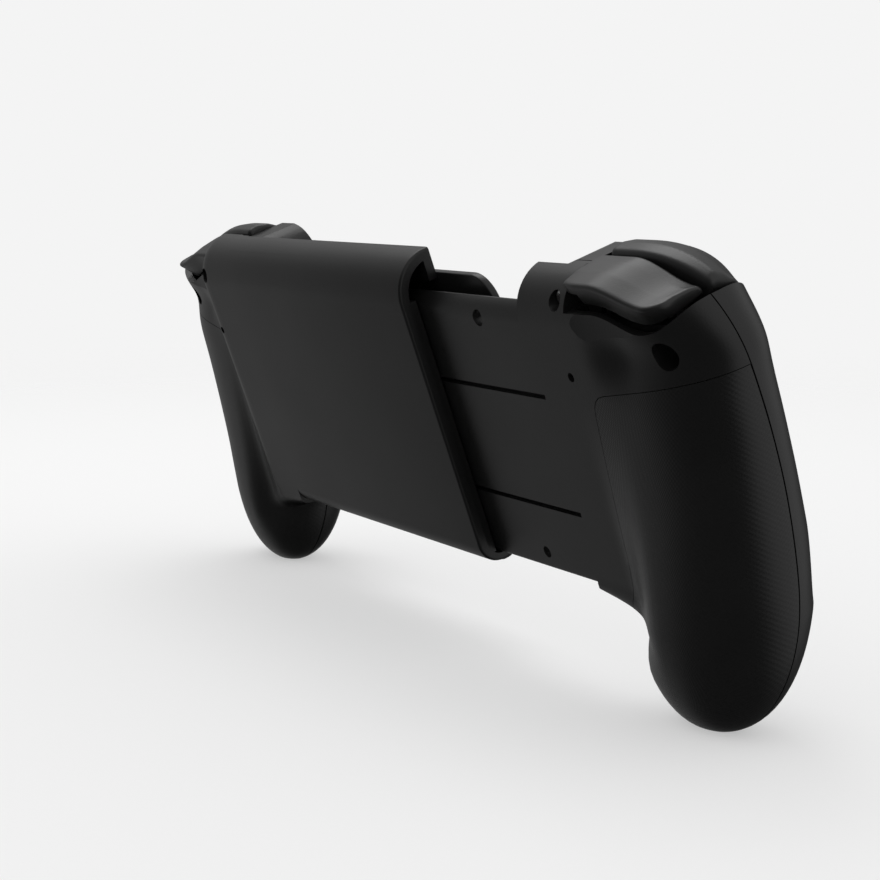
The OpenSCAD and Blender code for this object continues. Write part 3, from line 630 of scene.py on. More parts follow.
def rear_half(side):
    boss = combine(rod("y", SCREW_MID, BOSS_R, -16, -3.5), "INTERSECT", pod(side))
    made = join(hollow_pod(side), boss)
    recess = cut(cover_zone(COVER_GAP), pod(side, COVER + 0.1))
    tools = [recess] + shell_cutters(side, True) + [finger_hollow(side)]
    if side < 0:
        tools.append(block((-1, SLOT_Y - 0.2, 18.5), (25, REST_Y + 0.5, 103.2)))
    tools += [rod("y", SCREW_MID, HEAD_HOLE, -10, 30), rod("y", SCREW_MID, PILOT_HOLE, -17, -9.9, 24)]
    tools += [rod("y", SCREW_TOP, TOP_HOLE, -4.6, 30, 32), rod("y", SCREW_TOP, PILOT_HOLE, -20, -4.5, 24)]
    tools += [rod("y", DIMPLE, DIMPLE_R, -1.4, 20, 24)]
    return cut(made, *tools)


print("screws, from a grip's inner face:", SCREW_LOW, SCREW_MID, SCREW_TOP)

# %% How the front shells and covers are cut
DPAD_HOLE = (23.8, 9.2)  # span and arm width of the opening for the direction pad


def cross(at, w, a):
    """Outline of a cross, w from end to end, with arms a wide."""
    h, k = w / 2, a / 2
    corners = [(h, -k), (h, k), (k, k), (k, h), (-k, h), (-k, k),
               (-h, k), (-h, -k), (-k, -k), (-k, -h), (k, -h), (k, -k)]
    return [(at[0] + x, at[1] + z) for x, z in corners]


def mouth(at, r, ease=0.6, sides=64):
    """Cutter for a round opening in the front, with an eased edge."""
    lip = [(r + ease * (1 - math.cos(t)), ease * (1 - math.sin(t)))
           for t in np.radians(np.linspace(0, 90, 5))]
    return turned([(r, 9)] + lip + [(r + ease, -9)], at, FRONT, 1, sides)


def front_half(side):
    made = join(hollow_pod(side), rod("y", SCREW_MID, HEAD_HOLE, -24.5, -12.15))
    tools = shell_cutters(side, False) + [mouth(s, SMALL_R + 0.3, 0.3, 40) for s in SMALL]
    if side < 0:
        tools += [mouth(LEFT_STICK, STICK_HOLE, sides=96),
                  prism("y", -60, -18, softened(cross(DPAD, *DPAD_HOLE), 0.9))]
    else:
        tools += [mouth(RIGHT_STICK, STICK_HOLE, sides=96)] + [mouth(at, FACE_R + 0.3, 0.4) for at in FACES]
    return cut(made, *tools)


def grip_cover(side):
    made = combine(cut(pod(side), pod(side, COVER)), "INTERSECT", cover_zone(0))
    return cut(made, parting(False, COVER_SEAM_GAP), floor_block(side))


print("openings in the fronts:", 2 * len(SMALL) + len(FACES) + 3)

# %% Dress a piece
CRISP_FROM = math.radians(32)  # an edge that turns by more than this is shaded as an edge


def edges_of(mesh, on_surface):
    """Edges where a surface that was cut in meets the skin around it."""
    on = on_surface(np.array([v.co for v in mesh.vertices]))
    met = {}
    for face in mesh.polygons:
        inside = all(on[v] for v in face.vertices)
        for key in face.edge_keys:
            met.setdefault(key, set()).add(inside)
    return {key for key, kinds in met.items() if len(kinds) == 2}


def dress(made, name, slot, body, *nodes, crease=None):
    """Lean the piece, smooth it, and give it its finish and its place in the model."""
    crisp = edges_of(made.data, crease) if crease else set()
    made.data.transform(STAND)
    made.name = made.data.name = name
    made.data.materials.clear()
    made.data.materials.append(FINISH[slot])
    for face in made.data.polygons:
        face.use_smooth = True
        face.material_index = 0
    made.data.set_sharp_from_angle(angle=CRISP_FROM)
    for edge in made.data.edges:
        if edge.key in crisp:
            edge.use_edge_sharp = True
    if body:
        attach(made, body)
    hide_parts(*nodes)
    print(name, len(made.data.polygons), "faces")


def dress_side(made, side, name, slot, body, node_name):
    """Bring a grip's piece to its side and dress it, with the side in front of each name."""
    tag = NAMES[side] + "_"
    dress(to_side(made, side), tag + name, slot, tag + body, tag + node_name)


print("slots to dress with:", len(FINISH))

# %% Make the shells and covers
halves = {}
for side in (-1, 1):
    halves[side] = to_side(rear_half(side), side)
    dress_side(front_half(side), side, "front_moulding", "shell", "unit", "front_shell")
    dress_side(grip_cover(side), side, "grip_skin", "cover", "unit", "grip_cover")

# %% [markdown]
# ## Plate and sleeve
# The left half carries a thin plate that slides inside a sleeve on the right half, so the grips
# can be pulled apart. Both are extrusions, so a drawn outline pulled along x is the honest way.
# Two fine grooves in the plate guide pins of the sleeve. The sleeve's free end is eased, because a
# hand slides over it.

# %% Plate
GROOVES, GROOVE_W, SLEEVE_END = (76.1, 46.6), 1.2, 30.5
SPRINGS, HOOKS = (88, 37), (-36, 67)
PLATE_FRONT, PLATE_FOOT, PLATE_END = -3, 28.6, 18
PLATE_R, PLATE_TOP = 5.5, 93.7  # the upper edge bends forward round this radius, from this height
POST_R = 1.2
bend = np.radians(np.linspace(0, 57.6, 17))
edge = [(-PLATE_R + PLATE_R * math.cos(t), PLATE_TOP + PLATE_R * math.sin(t)) for t in bend]
foot = [(-1 + math.sin(t), PLATE_FOOT + 1 - math.cos(t)) for t in np.radians(np.linspace(0, 90, 7))]
plate = prism("x", -GRIP_X - 0.5, PLATE_END,
              [(PLATE_FRONT, PLATE_FOOT)] + foot + edge + [(PLATE_FRONT, edge[-1][1])])
cut(plate, rod("y", (-56.3, 93.9), 2, -10, 5), rod("y", (-54.9, 33.2), 1.5, -10, 5))
posts = [rod("y", (HOOKS[0], z), POST_R, -6.2, -2.5, 24) for z in SPRINGS]
join(halves[-1], plate, block((-GRIP_X - 2, -2.6, 34), (-GRIP_X + 2, -0.6, 90)), *posts)
for z in GROOVES:
    upper = z + GROOVE_W / 2
    cut(halves[-1], block((-GRIP_X - 1.5, -1.6, z - GROOVE_W / 2), (5, 1, upper)),
        block((-SLEEVE_END + 3.5, -1.6, upper - 0.1), (-SLEEVE_END + 9.5, 1, upper + 3.4)))
dress(halves[-1], "left_rear_moulding", "shell", "left_unit", "left_rear_shell",
      crease=lambda p: on_hollow(p, -1))

# %% Sleeve
FOOT_R, FOOT_Z = 6, 26  # the lower edge's outer radius and height
INNER_FOOT_R, INNER_FOOT_Z, INNER_R = 3.4, 28, ROUND_BACK - 2.6  # the same inside, and the upper one
LIP_Y, END_R = -4.6, 0.7  # front of the upper wall, and the easing of the free end
top = TOP[1] - ROUND_BACK
arch = [z for z in heights(1) if z >= top - 0.01]
outer = [(RISE - FOOT_R + FOOT_R * math.sin(t), FOOT_Z + FOOT_R - FOOT_R * math.cos(t))
         for t in np.radians(np.linspace(0, 90, 17))]
outer += [(float(back_y(np.zeros(1), z, 1)[0]), z) for z in arch]
outer = np.array([(REST_Y, FOOT_Z)] + outer + [(REST_Y, outer[-1][1])])
along = np.gradient(outer, axis=0)
along[[0, -1]] = along[[1, -2]]
inward = np.column_stack([-along[:, 1], along[:, 0]]) / np.linalg.norm(along, axis=1)[:, None]
rows = []
for t in np.radians(np.linspace(0, 90, 6)):
    eased_in = outer + END_R * (1 - math.sin(t)) * inward
    rows.append([(-SLEEVE_END + END_R * (1 - math.cos(t)), *p) for p in eased_in])
rows.append([(GRIP_X + 0.02, *p) for p in outer])
turn = math.acos((LIP_Y - RISE + ROUND_BACK) / INNER_R)
inner = [(RISE - FOOT_R, INNER_FOOT_Z)]
inner += [(RISE - FOOT_R + INNER_FOOT_R * math.sin(t),
           INNER_FOOT_Z + INNER_FOOT_R - INNER_FOOT_R * math.cos(t))
          for t in np.radians(np.linspace(8, 90, 12))]
inner += [(RISE - ROUND_BACK + INNER_R * math.cos(t), top + INNER_R * math.sin(t))
          for t in np.linspace(0, turn, 15)]
inner = [(REST_Y - 1, INNER_FOOT_Z)] + inner + [(LIP_Y, 100), (REST_Y - 1, 100)]
sleeve = cut(skin(rows), prism("x", -SLEEVE_END - 1, GRIP_X + 5, inner))
join(sleeve, block((-SLEEVE_END + 0.2, 0.5, 29), (-SLEEVE_END + 4.5, RISE - 2, 97)))
REST_X, REST_Z = (-20, 25, 66), 102.6  # places of the rest's three screws
PIN_X = -SLEEVE_END + 7.5  # place of the pins that run in the grooves
cut(sleeve, *[rod("y", (PIN_X, z), 0.95, 0, 3.4, 24) for z in GROOVES],
    *[rod("y", (x, REST_Z), 1.05, -12, -4.9, 24) for x in REST_X])
join(halves[1], sleeve)
dress(halves[1], "right_rear_moulding", "shell", "right_unit", "right_rear_shell",
      crease=lambda p: on_hollow(p, 1))

# %% [markdown]
# ## Triggers and bumpers
# Each grip has a broad trigger at the back and a bumper in front of it. Their tops are crowned and
# fall toward the outer end, so they are skinned over profiles from end to end. A profile's corners
# are rounded by a small arc and the end profiles shrink along a quarter circle, which gives the
# moulded edges that catch the light.

# %% Skin over profiles


def loft(profile, lo, hi, r, end_r, n=46):
    """Skin over profile(u) from lo to hi, with rounded corners and rounded ends."""
    ease = np.sin(np.radians(np.linspace(0, 90, 7)))
    between = np.linspace(lo + end_r, hi - end_r, n)[1:-1]
    places = np.concatenate([lo + end_r * (1 - ease[::-1]), between, hi - end_r * (1 - ease)])
    rows = []
    for u in places:
        row = softened(profile(u), r)
        near = min(u - lo, hi - u)
        if near < end_r:
            shrink = end_r - math.sqrt(max(0, end_r ** 2 - (end_r - near) ** 2))
            mid, size = (row.max(0) + row.min(0)) / 2, (row.max(0) - row.min(0)) / 2
            row = mid + (row - mid) * (1 - shrink / size)
        rows.append(np.column_stack([np.full(len(row), u), row]))
    return skin(rows)


def plain_loft(profile, places):
    return skin([[(u, *p) for p in profile(u)] for u in places])


print("skins over profiles ready")

# %% Profiles of the triggers
TRIGGER_FRONT, TRIGGER_BACK = -14.2, -1
TURN_U, TURN_R = 45, 5  # the rear edge turns forward at the outer end
TUCK, TUCK_U, TUCK_SPAN = 1.2, 24, 6  # and a little at the inner end
CREST, CREST_FALL, CREST_U = 103.9, 4, (28, 47)  # top along the rear edge
GAP, GAP_FALL, GAP_U = 105.6, 5.6, (31, 50)  # top along the gap to the bumper
OUTER_POWER = 2.4  # roundness of the housing's outer side
INSIDE_LOW = 85  # the hollows reach down past the lower edges


def back_edge(u):
    out = max(0, 1 - max(0, (u - MIDDLE) / half_out(96)) ** OUTER_POWER) ** (1 / OUTER_POWER)
    return mix(FRONT, 0, (1 + out) / 2)


def trigger_lines(u):
    """At u: rear edge, top there, top at the gap, foot of the rear face, lower edge."""
    turn = min(1, max(0, (u - TURN_U) / TURN_R))
    back = TURN_R * (math.sqrt(1 - turn ** 2) - 1) + TRIGGER_BACK
    back -= TUCK * min(1, max(0, (TUCK_U - u) / TUCK_SPAN)) ** 2
    crest = CREST - CREST_FALL * float(smooth(*CREST_U, u))
    gap = GAP - GAP_FALL * float(smooth(*GAP_U, u))
    return back, crest, gap, min(back - 2, back_edge(u) - 3.2), rim(u) + 1.2


def trigger_profile(u):
    b, t, g, skirt, low = trigger_lines(u)
    crown = [(mix(b, TRIGGER_FRONT, k), mix(t, g, k) + 0.4) for k in (0.35, 0.7)]
    return [(TRIGGER_FRONT, low + 1.5), (skirt - 0.6, low), (skirt, low), (b, t - 0.9), (b - 0.12, t - 0.3),
            (b - 0.7, t + 0.05), *crown, (TRIGGER_FRONT + 0.8, g), (TRIGGER_FRONT, g - 0.8)]


def trigger_hollow(u):
    b, t, g, skirt, _ = trigger_lines(u)
    return [(TRIGGER_FRONT - 1, INSIDE_LOW), (skirt - 1.3, INSIDE_LOW), (b - 2.8, t - 2.6),
            (b - 3.4, t - 1.9), (mix(b, TRIGGER_FRONT, 0.5), mix(t, g, 0.5) - 1.5),
            (TRIGGER_FRONT - 1, g - 2)]


print("a trigger is", round(trigger_lines(28)[1] - trigger_lines(48)[1], 1), "mm lower at its outer end")

# %% Profiles of the bumpers
BUMPER_BACK, BUMPER_FRONT = -15.3, -27.4
BUMPER_TOP, BUMPER_FALL, BUMPER_TURN = 106.3, 6, 8  # top, and how far it falls and turns back


def bumper_lines(u):
    """At u: top and front."""
    top = BUMPER_TOP - BUMPER_FALL * min(1, max(0, (u - 26) / 26)) ** 2.2
    return top, BUMPER_FRONT + BUMPER_TURN * max(0, (u - 30) / 26) ** 2.4


def bumper_profile(u):
    t, f = bumper_lines(u)
    low = rim(u) + 0.6
    crown = [(mix(BUMPER_BACK, f, k), t + rise) for k, rise in ((0.3, 0.2), (0.6, -0.6), (0.86, -2.6))]
    return [(f, low), (BUMPER_BACK, low + 1), (BUMPER_BACK, t - 1.4), (BUMPER_BACK - 0.7, t - 0.3),
            *crown, (f, max(t - 5.2, low + 0.6))]


def bumper_hollow(u):
    t, f = bumper_lines(u)
    front, back = f + 1.8, BUMPER_BACK - 1.8
    return [(front, INSIDE_LOW), (back, INSIDE_LOW), (back, t - 2.6), (mix(BUMPER_BACK, f, 0.5), t - 2.2),
            (front, t - 6)]


print("a bumper is", round(bumper_lines(26)[0] - bumper_lines(50)[0], 1), "mm lower at its outer end")

# %% Triggers and bumpers
PIN, BUMPER_PIN, PIN_HOLE = (-10.5, 97.2), (-23.0, 97.5), 1.06
TRIGGER_ENDS, BUMPER_ENDS = (19, 49.9), (18.9, 50.9)
for side in (-1, 1):
    made = cut(loft(trigger_profile, *TRIGGER_ENDS, 0.5, 0.7),
               plain_loft(trigger_hollow, (20.8, 25, 30, 35, 40, 45, 48.2)))
    join(made, rod("x", PIN, 2.6, 25, 37), block((26, PIN[0] - 1.4, PIN[1]), (36, PIN[0] + 1.4, 103.4)))
    hole, notch = rod("x", PIN, PIN_HOLE, 24, 38), block((18, -5, 90), (23.2, 5, 101.2))
    cut(made, hole, notch)
    dress_side(made, side, "trigger_moulding", "control", "trigger", "trigger")
    made = cut(loft(bumper_profile, *BUMPER_ENDS, 0.7, 1.2),
               plain_loft(bumper_hollow, (20.6, 26, 32, 38, 44, 48.9)))
    web = block((27, BUMPER_PIN[0] - 0.6, BUMPER_PIN[1]), (35, BUMPER_PIN[0] + 1, 103.1))
    join(made, rod("x", BUMPER_PIN, 2, 26, 36), web)
    cut(made, rod("x", BUMPER_PIN, PIN_HOLE, 25, 37))
    dress_side(made, side, "bumper_moulding", "control", "bumper", "bumper")

# %% [markdown]
# ## Sticks, direction pad and buttons
# These face the player. A stick cap is one turned rubber form: a dished top with a ribbed edge, a
# neck, and a dome that closes the opening as it tilts. The buttons are turned too, each with a
# flange that keeps it in the shell. The direction pad is a cross, hollowed a little for a thumb.

# %% Stick caps
STICK_PIVOT, DOME, DOME_WALL = -19.0, 11.2, 0.8
EDGE, EDGE_ROUND, LIFT = 8.8, 1.2, 14.6  # radius of the top, its round edge and that edge's height
RIBS, RIB_DEEP, RIB_BAND, RIB_FROM = 44, 0.16, 0.9, 12.6


def stick_profile():
    inside = [((DOME - DOME_WALL) * math.sin(a), (DOME - DOME_WALL) * math.cos(a))
              for a in np.radians(np.linspace(10, 84, 16))]
    outside = [(DOME * math.sin(a), DOME * math.cos(a)) for a in np.radians(np.linspace(84, 20, 16))]
    edge = [(EDGE - EDGE_ROUND + EDGE_ROUND * math.cos(a), LIFT + EDGE_ROUND * math.sin(a))
            for a in np.radians(np.linspace(-60, 115, 13))]
    stem = [(0.02, -1.4), (1.4, -1.4), (1.7, -1.1), (1.7, 10.2)]
    neck = [(3.6, 11.0), (3.45, 11.3), (3.5, 11.8), (EDGE - 1.6, 12.75)]
    dish = [(6.6, 15.55), (6.2, 15.2), (5.6, 15.0), (5.2, 14.75), (4, 14.3), (2, 14.08), (0.02, 14.0)]
    return stem + inside + outside + neck + edge + dish


def stick_cap(at):
    """The turned cap, with ribs pressed into its edge for the thumb."""
    made = turned(stick_profile(), at, STICK_PIVOT, -1, RIBS * 4)
    for v in made.data.vertices:
        away = Vector((v.co.x - at[0], v.co.z - at[1]))
        if away.length > EDGE - RIB_BAND and v.co.y < STICK_PIVOT - RIB_FROM:
            wave = 0.5 - 0.5 * math.cos(RIBS * math.atan2(away.y, away.x))
            dip = RIB_DEEP * wave * (away.length - EDGE + RIB_BAND) / RIB_BAND
            v.co.x -= away.x / away.length * dip
            v.co.z -= away.y / away.length * dip
    return made


for side, at in ((-1, LEFT_STICK), (1, RIGHT_STICK)):
    dress_side(stick_cap(at), side, "thumb_cap", "rubber", "stick_cap", "stick_cap")

# %% Direction pad
PAD_TOP, PAD_SIZE = -29.6, (22, 7.4)
pad = eased(prism("y", PAD_TOP, -20.6, cross(DPAD, *PAD_SIZE)), 0.8)
thumb_dish = ball((DPAD[0], PAD_TOP - 59.5, DPAD[1]), (60, 60, 60), 160)
cut(pad, thumb_dish, ball((DPAD[0], -33.4, DPAD[1]), (5, 5, 5)))
join(pad, rod("y", DPAD, 11.6, -21.2, -20.2, 72), rod("y", DPAD, 4.4, -22, -18))
cut(pad, ball((DPAD[0], -18, DPAD[1]), (3, 3, 3)))
dress(to_side(pad, -1), "thumb_cross", "control", "dpad_cap", "dpad_cap")

# %% Buttons
FACE_SEAT, FACE_TALL, BUTTON_FLANGE = -20.9, 8.3, 0.9


def button(at, seat, r, flange, tall, ease):
    """Turned button that stands on its flange at seat, with an eased and slightly domed top."""
    bend = [(r - ease + ease * math.cos(t), tall - 0.1 - ease + ease * math.sin(t))
            for t in np.radians(np.linspace(0, 84, 7))]
    foot = [(0.02, 0), (flange - 0.1, 0), (flange, 0.1), (flange, 0.6), (flange - 0.1, 0.7), (r, 0.72)]
    return turned(foot + bend + [(0.6 * r, tall - 0.03), (0.3 * r, tall), (0.02, tall)], at, seat)


for name, at in zip(("button_right", "button_up", "button_left", "button_down"), FACES):
    made = button(at, FACE_SEAT, FACE_R, FACE_R + BUTTON_FLANGE, FACE_TALL, 0.6)
    dress(to_side(made, 1), name + "_cap", "control", name, name)
for side, names in ((-1, ("view_button", "capture_button")), (1, ("menu_button", "home_button"))):
    for name, at, seat in zip(names, SMALL, SMALL_SEAT):
        made = button(at, seat + 0.7, SMALL_R, SMALL_R + BUTTON_FLANGE, seat + 0.7 + 27.4, 0.35)
        dress(to_side(made, side), name + "_cap", "control", name, name)

# %% [markdown]
# ## The slots and the rest
# What is played on is held in two slots with soft pads, and lies on a rest with two rubber strips.
# The pads are cut with cross grooves so that they grip. The rest is a sheet with rounded corners
# and three tabs, so it is drawn as an outline round four circles. The plug is a pressed steel shell.

# %% Pads and plug
PAD_HALF = 33.5
for side in (-1, 1):
    pad = eased(block((SLOT_D - 1.1, SLOT_Y - SLOT_T + 0.6, SLOT_Z - PAD_HALF),
                      (SLOT_D - 0.02, SLOT_Y - 0.4, SLOT_Z + PAD_HALF)), 0.3)
    if side > 0:
        cut(pad, block((0, SLOT_Y - 7, SLOT_Z - 6), (20, SLOT_Y - 1.6, SLOT_Z + 6)))
    cut(pad, *[block((5, -20, z - 0.35), (SLOT_D - 0.85, -8, z + 0.35)) for z in np.arange(36, 96, 4.2)])
    dress_side(pad, side, "slot_pad", "rubber", "unit", "phone_pad")


def flat_oval(at, half, r, n=13):
    """Outline of a strip with round ends, in (y, z)."""
    turn = np.radians(np.linspace(-90, 90, n))
    upper = [(at[0] + r * math.sin(t), at[1] + half + r * math.cos(t)) for t in turn]
    return upper + [(2 * at[0] - y, 2 * at[1] - z) for y, z in upper]


PLUG = (SLOT_Y - SLOT_T / 2, SLOT_Z)
PLUG_HALF, PLUG_R, PLUG_HOLE = 2.9, 1.25, 0.85
plug = eased(prism("x", -0.4, SLOT_D - 0.1, flat_oval(PLUG, PLUG_HALF, PLUG_R)), 0.2)
cut(plug, prism("x", -1, 4.6, flat_oval(PLUG, PLUG_HALF, PLUG_HOLE)))
collar = block((SLOT_D - 1, PLUG[0] - 2, SLOT_Z - 5), (SLOT_D - 0.02, PLUG[0] + 2, SLOT_Z + 5))
join(plug, eased(collar, 0.25))
dress(to_side(plug, 1), "charging_plug", "steel", "right_unit", "usb_plug")

# %% Rest


def outline_round(circles):
    """Outline of a sheet stretched round circles, each given as (x, z, radius)."""
    pts = sorted({(round(p[0], 5), round(p[1], 5))
                  for x, z, r in circles for p in circle((x, z), r, 64)})

    def half(points):
        kept = []
        for p in points:
            while len(kept) > 1 and ((kept[-1][0] - kept[-2][0]) * (p[1] - kept[-2][1])
                                     <= (kept[-1][1] - kept[-2][1]) * (p[0] - kept[-2][0])):
                kept.pop()
            kept.append(p)
        return kept[:-1]
    return half(pts) + half(pts[::-1])


REST_T = 2.0
REST_CORNERS = [(-46, 93.4, 8), (-15.5, 28, 8), (69.7, 97.4, 4), (69.7, 24, 4)]
TAB_HALF, TAB_LOW, TAB_TOP = 4, 84.7, 106


def sheet_piece(outline, ease):
    return eased(prism("y", REST_Y - REST_T, REST_Y - 0.02, outline), ease)


rest = sheet_piece(outline_round(REST_CORNERS), 0.4)
tabs = [sheet_piece(softened([(x - TAB_HALF, TAB_LOW), (x + TAB_HALF, TAB_LOW), (x + TAB_HALF, TAB_TOP),
                              (x - TAB_HALF, TAB_TOP)], 1.6, 6), 0.3) for x in REST_X]
join(rest, *tabs, *[rod("y", (HOOKS[1], z), POST_R, REST_Y - 0.5, -3.6, 32) for z in SPRINGS])
for x in REST_X:
    cut(rest, rod("y", (x, REST_Z), 1.1, -20, 0, 32),
        rod("y", (x, REST_Z), 2, REST_Y - REST_T - 1, REST_Y - 1))
dress(rest, "phone_rest_sheet", "shell", "right_unit", "phone_rest")

# %% Rubber strips on the rest
REST_FACE, STRIP_X, STRIP_HALF = REST_Y - REST_T, (-18, 60), 5
strips = []
for z in (40, 84):
    strip = eased(block((STRIP_X[0], REST_FACE - 0.48, z - STRIP_HALF),
                        (STRIP_X[1], REST_FACE - 0.02, z + STRIP_HALF)), 0.2)
    strips.append(cut(strip, *[block((STRIP_X[0] + 2, -20, z + k - 0.4),
                                     (STRIP_X[1] - 2, REST_FACE - 0.33, z + k + 0.4))
                               for k in (-3, -1, 1, 3)]))
dress(join(*strips), "rest_strips", "rubber", "right_unit", "rest_pads")

# %% [markdown]
# ## Screws and pins
# Small steel parts: screws with a cross recess hold the shells and the rest, and two stepped pins
# in the sleeve run in the grooves of the plate. They are turned, and the cross is cut in.

# %% Screws and guide pins


def screw(at, face, toward, head, tall, shank, length):
    """Pan head with a cross recess, seen at face, and its shank behind it."""
    end = tall + length
    made = turned([(0.02, 0), (0.7 * head, 0), (0.9 * head, 0.15 * tall), (head, 0.4 * tall), (head, tall),
                   (shank, tall), (shank, end - 0.5), (0.5 * shank, end), (0.02, end)],
                  at, face, toward, 40)
    low, high = sorted((face - toward, face + 0.55 * toward * tall))
    return cut(made, *[block((at[0] - w * head, low, at[1] - h * head),
                             (at[0] + w * head, high, at[1] + h * head))
                       for w, h in ((0.6, 0.14), (0.14, 0.6))])


SHELL_SCREW = (-1, 1.9, 1.5, 1.0)  # toward the front; head radius and height, shank radius
HEAD_Y, TOP_HEAD_Y = -8.48, -3.08
for side in (-1, 1):
    made = join(screw(SCREW_MID, HEAD_Y, *SHELL_SCREW, 9), screw(SCREW_LOW, HEAD_Y, *SHELL_SCREW, 9),
                screw(SCREW_TOP, TOP_HEAD_Y, *SHELL_SCREW, 12))
    dress_side(made, side, "cross_screws", "steel", "unit", "screws")
made = join(*[screw((x, REST_Z), REST_Y - 2, 1, 1.8, 0.98, 0.98, 2.72) for x in REST_X])
dress(made, "rest_cross_screws", "steel", "right_unit", "rest_screws")
step = [(0.02, 0), (0.24, 0), (0.3, 0.06), (0.3, 1.5), (0.9, 1.5), (0.9, 2.1), (1.7, 2.1), (1.8, 2.2),
        (1.8, 3.3), (1.72, 3.38), (0.9, 3.38), (0.9, 4.4), (0.8, 4.5), (0.02, 4.5)]
made = join(*[turned(step, (PIN_X, z), -1.2, 1, 32) for z in GROOVES])
dress(made, "stepped_pins", "steel", "right_unit", "guide_pins")

# %% [markdown]
# ## Springs and cable across the slide
# Two long coil springs pull the halves together, and a flat cable joins their boards. Both run
# from one half to the other, so in the real gamepad they stretch as the grips are drawn apart. Here
# they are drawn as they lie at rest, kept on neither half. A spring is a wire swept along a helix
# that ends in a loop round a post. The cable is an amber film with copper lines.

# %% Pull springs


def wire(path, r, sides=6):
    """Round wire along a path, its section carried along without twist."""
    path = np.asarray(path, float)
    tangent = np.gradient(path, axis=0)
    tangent /= np.linalg.norm(tangent, axis=1)[:, None]
    across = np.cross(tangent[0], (0.3, 1, 0.2))
    rows = []
    for p, t in zip(path, tangent):
        across = across - t * (across @ t)
        across /= np.linalg.norm(across)
        third = np.cross(t, across)
        rows.append([p + r * (math.cos(a) * across + math.sin(a) * third)
                     for a in np.radians(np.arange(sides) * 360 / sides)])
    return skin(rows)


COIL_ENDS, COIL_Y, COIL_R, TURNS = (HOOKS[0] + 1.7, HOOKS[1] - 1.7), -5.0, 1.0, 84
LOOP_R, WIRE_R, STEPS = 1.46, 0.17, 12


def hook_loop(x, z, start, end):
    """Loop of wire round a post."""
    return [(x + LOOP_R * math.cos(a), COIL_Y, z + LOOP_R * math.sin(a))
            for a in np.radians(np.linspace(start, end, 18))]


def pull_spring(z):
    path = hook_loop(HOOKS[0], z, 20, 318)
    for k in range(TURNS * STEPS + 1):
        a = math.radians(360 / STEPS * k - 90)
        x = mix(*COIL_ENDS, k / (TURNS * STEPS))
        path.append((x, COIL_Y + COIL_R * math.cos(a), z + COIL_R * math.sin(a)))
    return wire(path + hook_loop(HOOKS[1], z, 222, -76), WIRE_R)


def across_slide(made, name, slot, node_name):
    """A piece that runs from one half to the other: dressed, kept on neither half, fixed where it lies."""
    dress(made, name, slot, None, node_name)
    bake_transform(made)


across_slide(join(*[pull_spring(z) for z in SPRINGS]), "coil_springs", "steel", "pull_springs")

# %% Flat cable
CABLE_ENDS, CABLE_Y, CABLE_HALF = (-30, GRIP_X - 0.3), -3.5, 0.06
CABLE_LOW, CABLE_HIGH, CABLE_WAVE = 56, 70, 0.09
rows = []
for x in np.linspace(*CABLE_ENDS, 90):
    y = CABLE_Y + CABLE_WAVE * math.sin(x / 5)
    front, back = y - CABLE_HALF, y + CABLE_HALF
    rows.append([(x, front, CABLE_LOW), (x, back, CABLE_LOW), (x, back, CABLE_HIGH), (x, front, CABLE_HIGH)])
across_slide(skin(rows), "film_cable", "ribbon", "flex_cable")

# %% [markdown]
# ## The pieces inside
# Pins, brackets, boards, stick modules and membranes are hidden in the shells. The solid model's
# own pieces stay for them, and each takes the finish of its material.

# %% Finish of the hidden pieces
for part in frame["record"]["subparts"]:
    piece = frame["nodes"][part["node"]]
    piece.data.materials.clear()
    piece.data.materials.append(FINISH[part["material_slot"]])

# %% [markdown]
# ## Floor, light and camera
# A pale floor under a white surround. The floor fades into the surround with distance, so there is
# no horizon, as with a sweep of paper. Dark satin plastic is seen mostly by what it mirrors, so the
# surround that it mirrors is set apart from the one that lights it: bright above and past the left
# grip, faint past the right grip, dark on the side that the back faces. The floor isn't mirrored. A
# grip then shows a bright edge and a dark middle. One softbox overhead gives the triggers their sheen.

# %% Floor
FADE_FROM, FADE_TO = 0.3, 0.9  # metres from the middle over which the floor fades out
GLOW, GLOW_SHARE = 0.85, 0.5  # evens out the floor as the camera sees it

bpy.ops.mesh.primitive_plane_add(size=6)
floor = bpy.context.object
floor.name = "floor"
paper = bpy.data.materials.new("floor paper")
paper.use_nodes = True
tree = paper.node_tree
sheet = tree.nodes["Principled BSDF"]
sheet.inputs["Roughness"].default_value = 0.9
sheet.inputs["Specular IOR Level"].default_value = 0.1
place = node(tree, "ShaderNodeTexCoord").outputs["Object"]
fibre = node(tree, "ShaderNodeTexNoise", [("Vector", place), ("Scale", 900.0), ("Detail", 2.0)])
tone = node(tree, "ShaderNodeMapRange", [("Value", fibre.outputs["Fac"]), ("To Min", 0.89),
                                         ("To Max", 0.91)])
tree.links.new(tone.outputs[0], sheet.inputs["Base Color"])
reach = node(tree, "ShaderNodeVectorMath", [(0, place)], operation="LENGTH")
fade = node(tree, "ShaderNodeMapRange", [("Value", reach.outputs["Value"]), ("From Min", FADE_FROM),
                                         ("From Max", FADE_TO)], interpolation_type="SMOOTHSTEP")
gone = node(tree, "ShaderNodeBsdfTransparent")
ray = node(tree, "ShaderNodeLightPath")
hidden = maths(tree, "MAXIMUM", fade.outputs[0], ray.outputs["Is Glossy Ray"])
glow = node(tree, "ShaderNodeEmission", [("Strength", GLOW)])
share = maths(tree, "MULTIPLY", ray.outputs["Is Camera Ray"], GLOW_SHARE)
seen = node(tree, "ShaderNodeMixShader", [(0, share), (1, sheet.outputs[0]), (2, glow.outputs[0])])
both = node(tree, "ShaderNodeMixShader", [(0, hidden), (1, seen.outputs[0]), (2, gone.outputs[0])])
tree.links.new(both.outputs[0], tree.nodes["Material Output"].inputs["Surface"])
floor.data.materials.append(paper)
print("floor:", tuple(round(v, 2) for v in floor.dimensions))

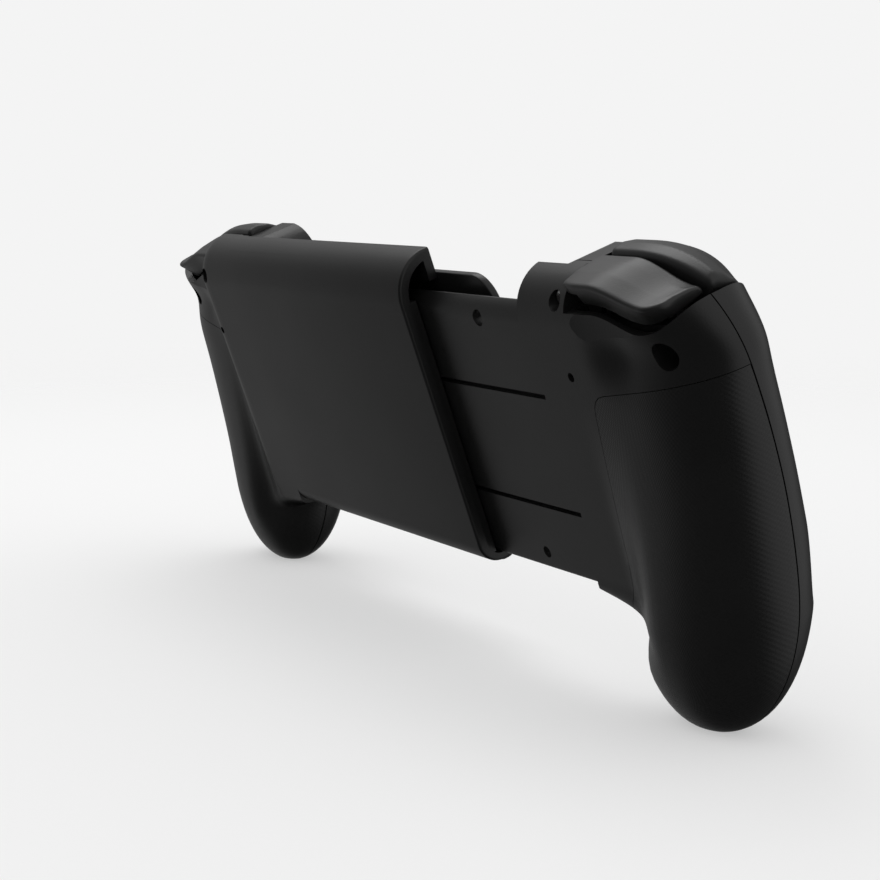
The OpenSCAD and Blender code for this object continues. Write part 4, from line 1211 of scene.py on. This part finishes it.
# %% Surround
BACKGROUND = 0.905
BRIGHT_SIDE, DIM = (-0.75, -0.55, 0.35), 0.06  # where the mirrored surround is brightest, and its least
world = bpy.data.worlds.new("studio")
scene.world = world
world.use_nodes = True
tree = world.node_tree
back = tree.nodes["Background"]
aim = node(tree, "ShaderNodeTexCoord")
axes = node(tree, "ShaderNodeSeparateXYZ", [("Vector", aim.outputs["Generated"])])
near = node(tree, "ShaderNodeVectorMath", [(0, aim.outputs["Generated"]), (1, BRIGHT_SIDE)],
            operation="DOT_PRODUCT")
level = DIM
for value, start, end, top in ((near.outputs["Value"], 0.15, 0.95, 0.9),
                               (axes.outputs["Z"], 0.25, 0.8, 0.5), (axes.outputs["X"], 0.5, 0.85, 0.26)):
    lit = node(tree, "ShaderNodeMapRange", [("Value", value), ("From Min", start), ("From Max", end),
                                            ("To Max", top)], interpolation_type="SMOOTHSTEP")
    level = maths(tree, "ADD", lit.outputs[0], level)
level = maths(tree, "MINIMUM", level, BACKGROUND)
ray = node(tree, "ShaderNodeLightPath")
shown = node(tree, "ShaderNodeMix", [("Factor", ray.outputs["Is Glossy Ray"]), (2, BACKGROUND), (3, level)])
tree.links.new(shown.outputs[0], back.inputs["Strength"])
back.inputs["Color"].default_value = (1, 1, 1, 1)
print("surround:", world.name)

# %% Lights


def softbox(name, at, target, size, power):
    lamp = bpy.data.lights.new(name, "AREA")
    lamp.shape, lamp.size, lamp.size_y, lamp.energy = "RECTANGLE", size[0], size[1], power
    made = bpy.data.objects.new(name, lamp)
    root.objects.link(made)
    made.location = at
    made.visible_camera = False
    made.rotation_mode = "QUATERNION"
    made.rotation_quaternion = (Vector(target) - Vector(at)).to_track_quat("-Z", "Y")
    return made


softbox("top light", at=(0.36, -0.05, 0.78), target=(0, 0, 0.08), size=(0.55, 0.45), power=1.8)
print("lights:", len(bpy.data.lights))

# %% Camera
CAMERA = Vector((-411.853, 240.136, 118.0)) * MM
YAW, PITCH = math.radians(30.3), math.radians(7.99)
LOOK = Vector((math.cos(YAW) * math.cos(PITCH), -math.sin(YAW) * math.cos(PITCH), -math.sin(PITCH)))
FOCAL, SENSOR = 74.3, 36

lens = bpy.data.cameras.new("photograph")
lens.lens, lens.sensor_width = FOCAL, SENSOR
camera = bpy.data.objects.new("photograph", lens)
root.objects.link(camera)
camera.location = CAMERA
camera.rotation_mode = "QUATERNION"
camera.rotation_quaternion = LOOK.to_track_quat("-Z", "Y")
lens.clip_start, lens.clip_end = 0.01, 20
scene.camera = camera
scene.view_settings.view_transform = "Standard"
print("camera:", tuple(round(v, 3) for v in camera.location))
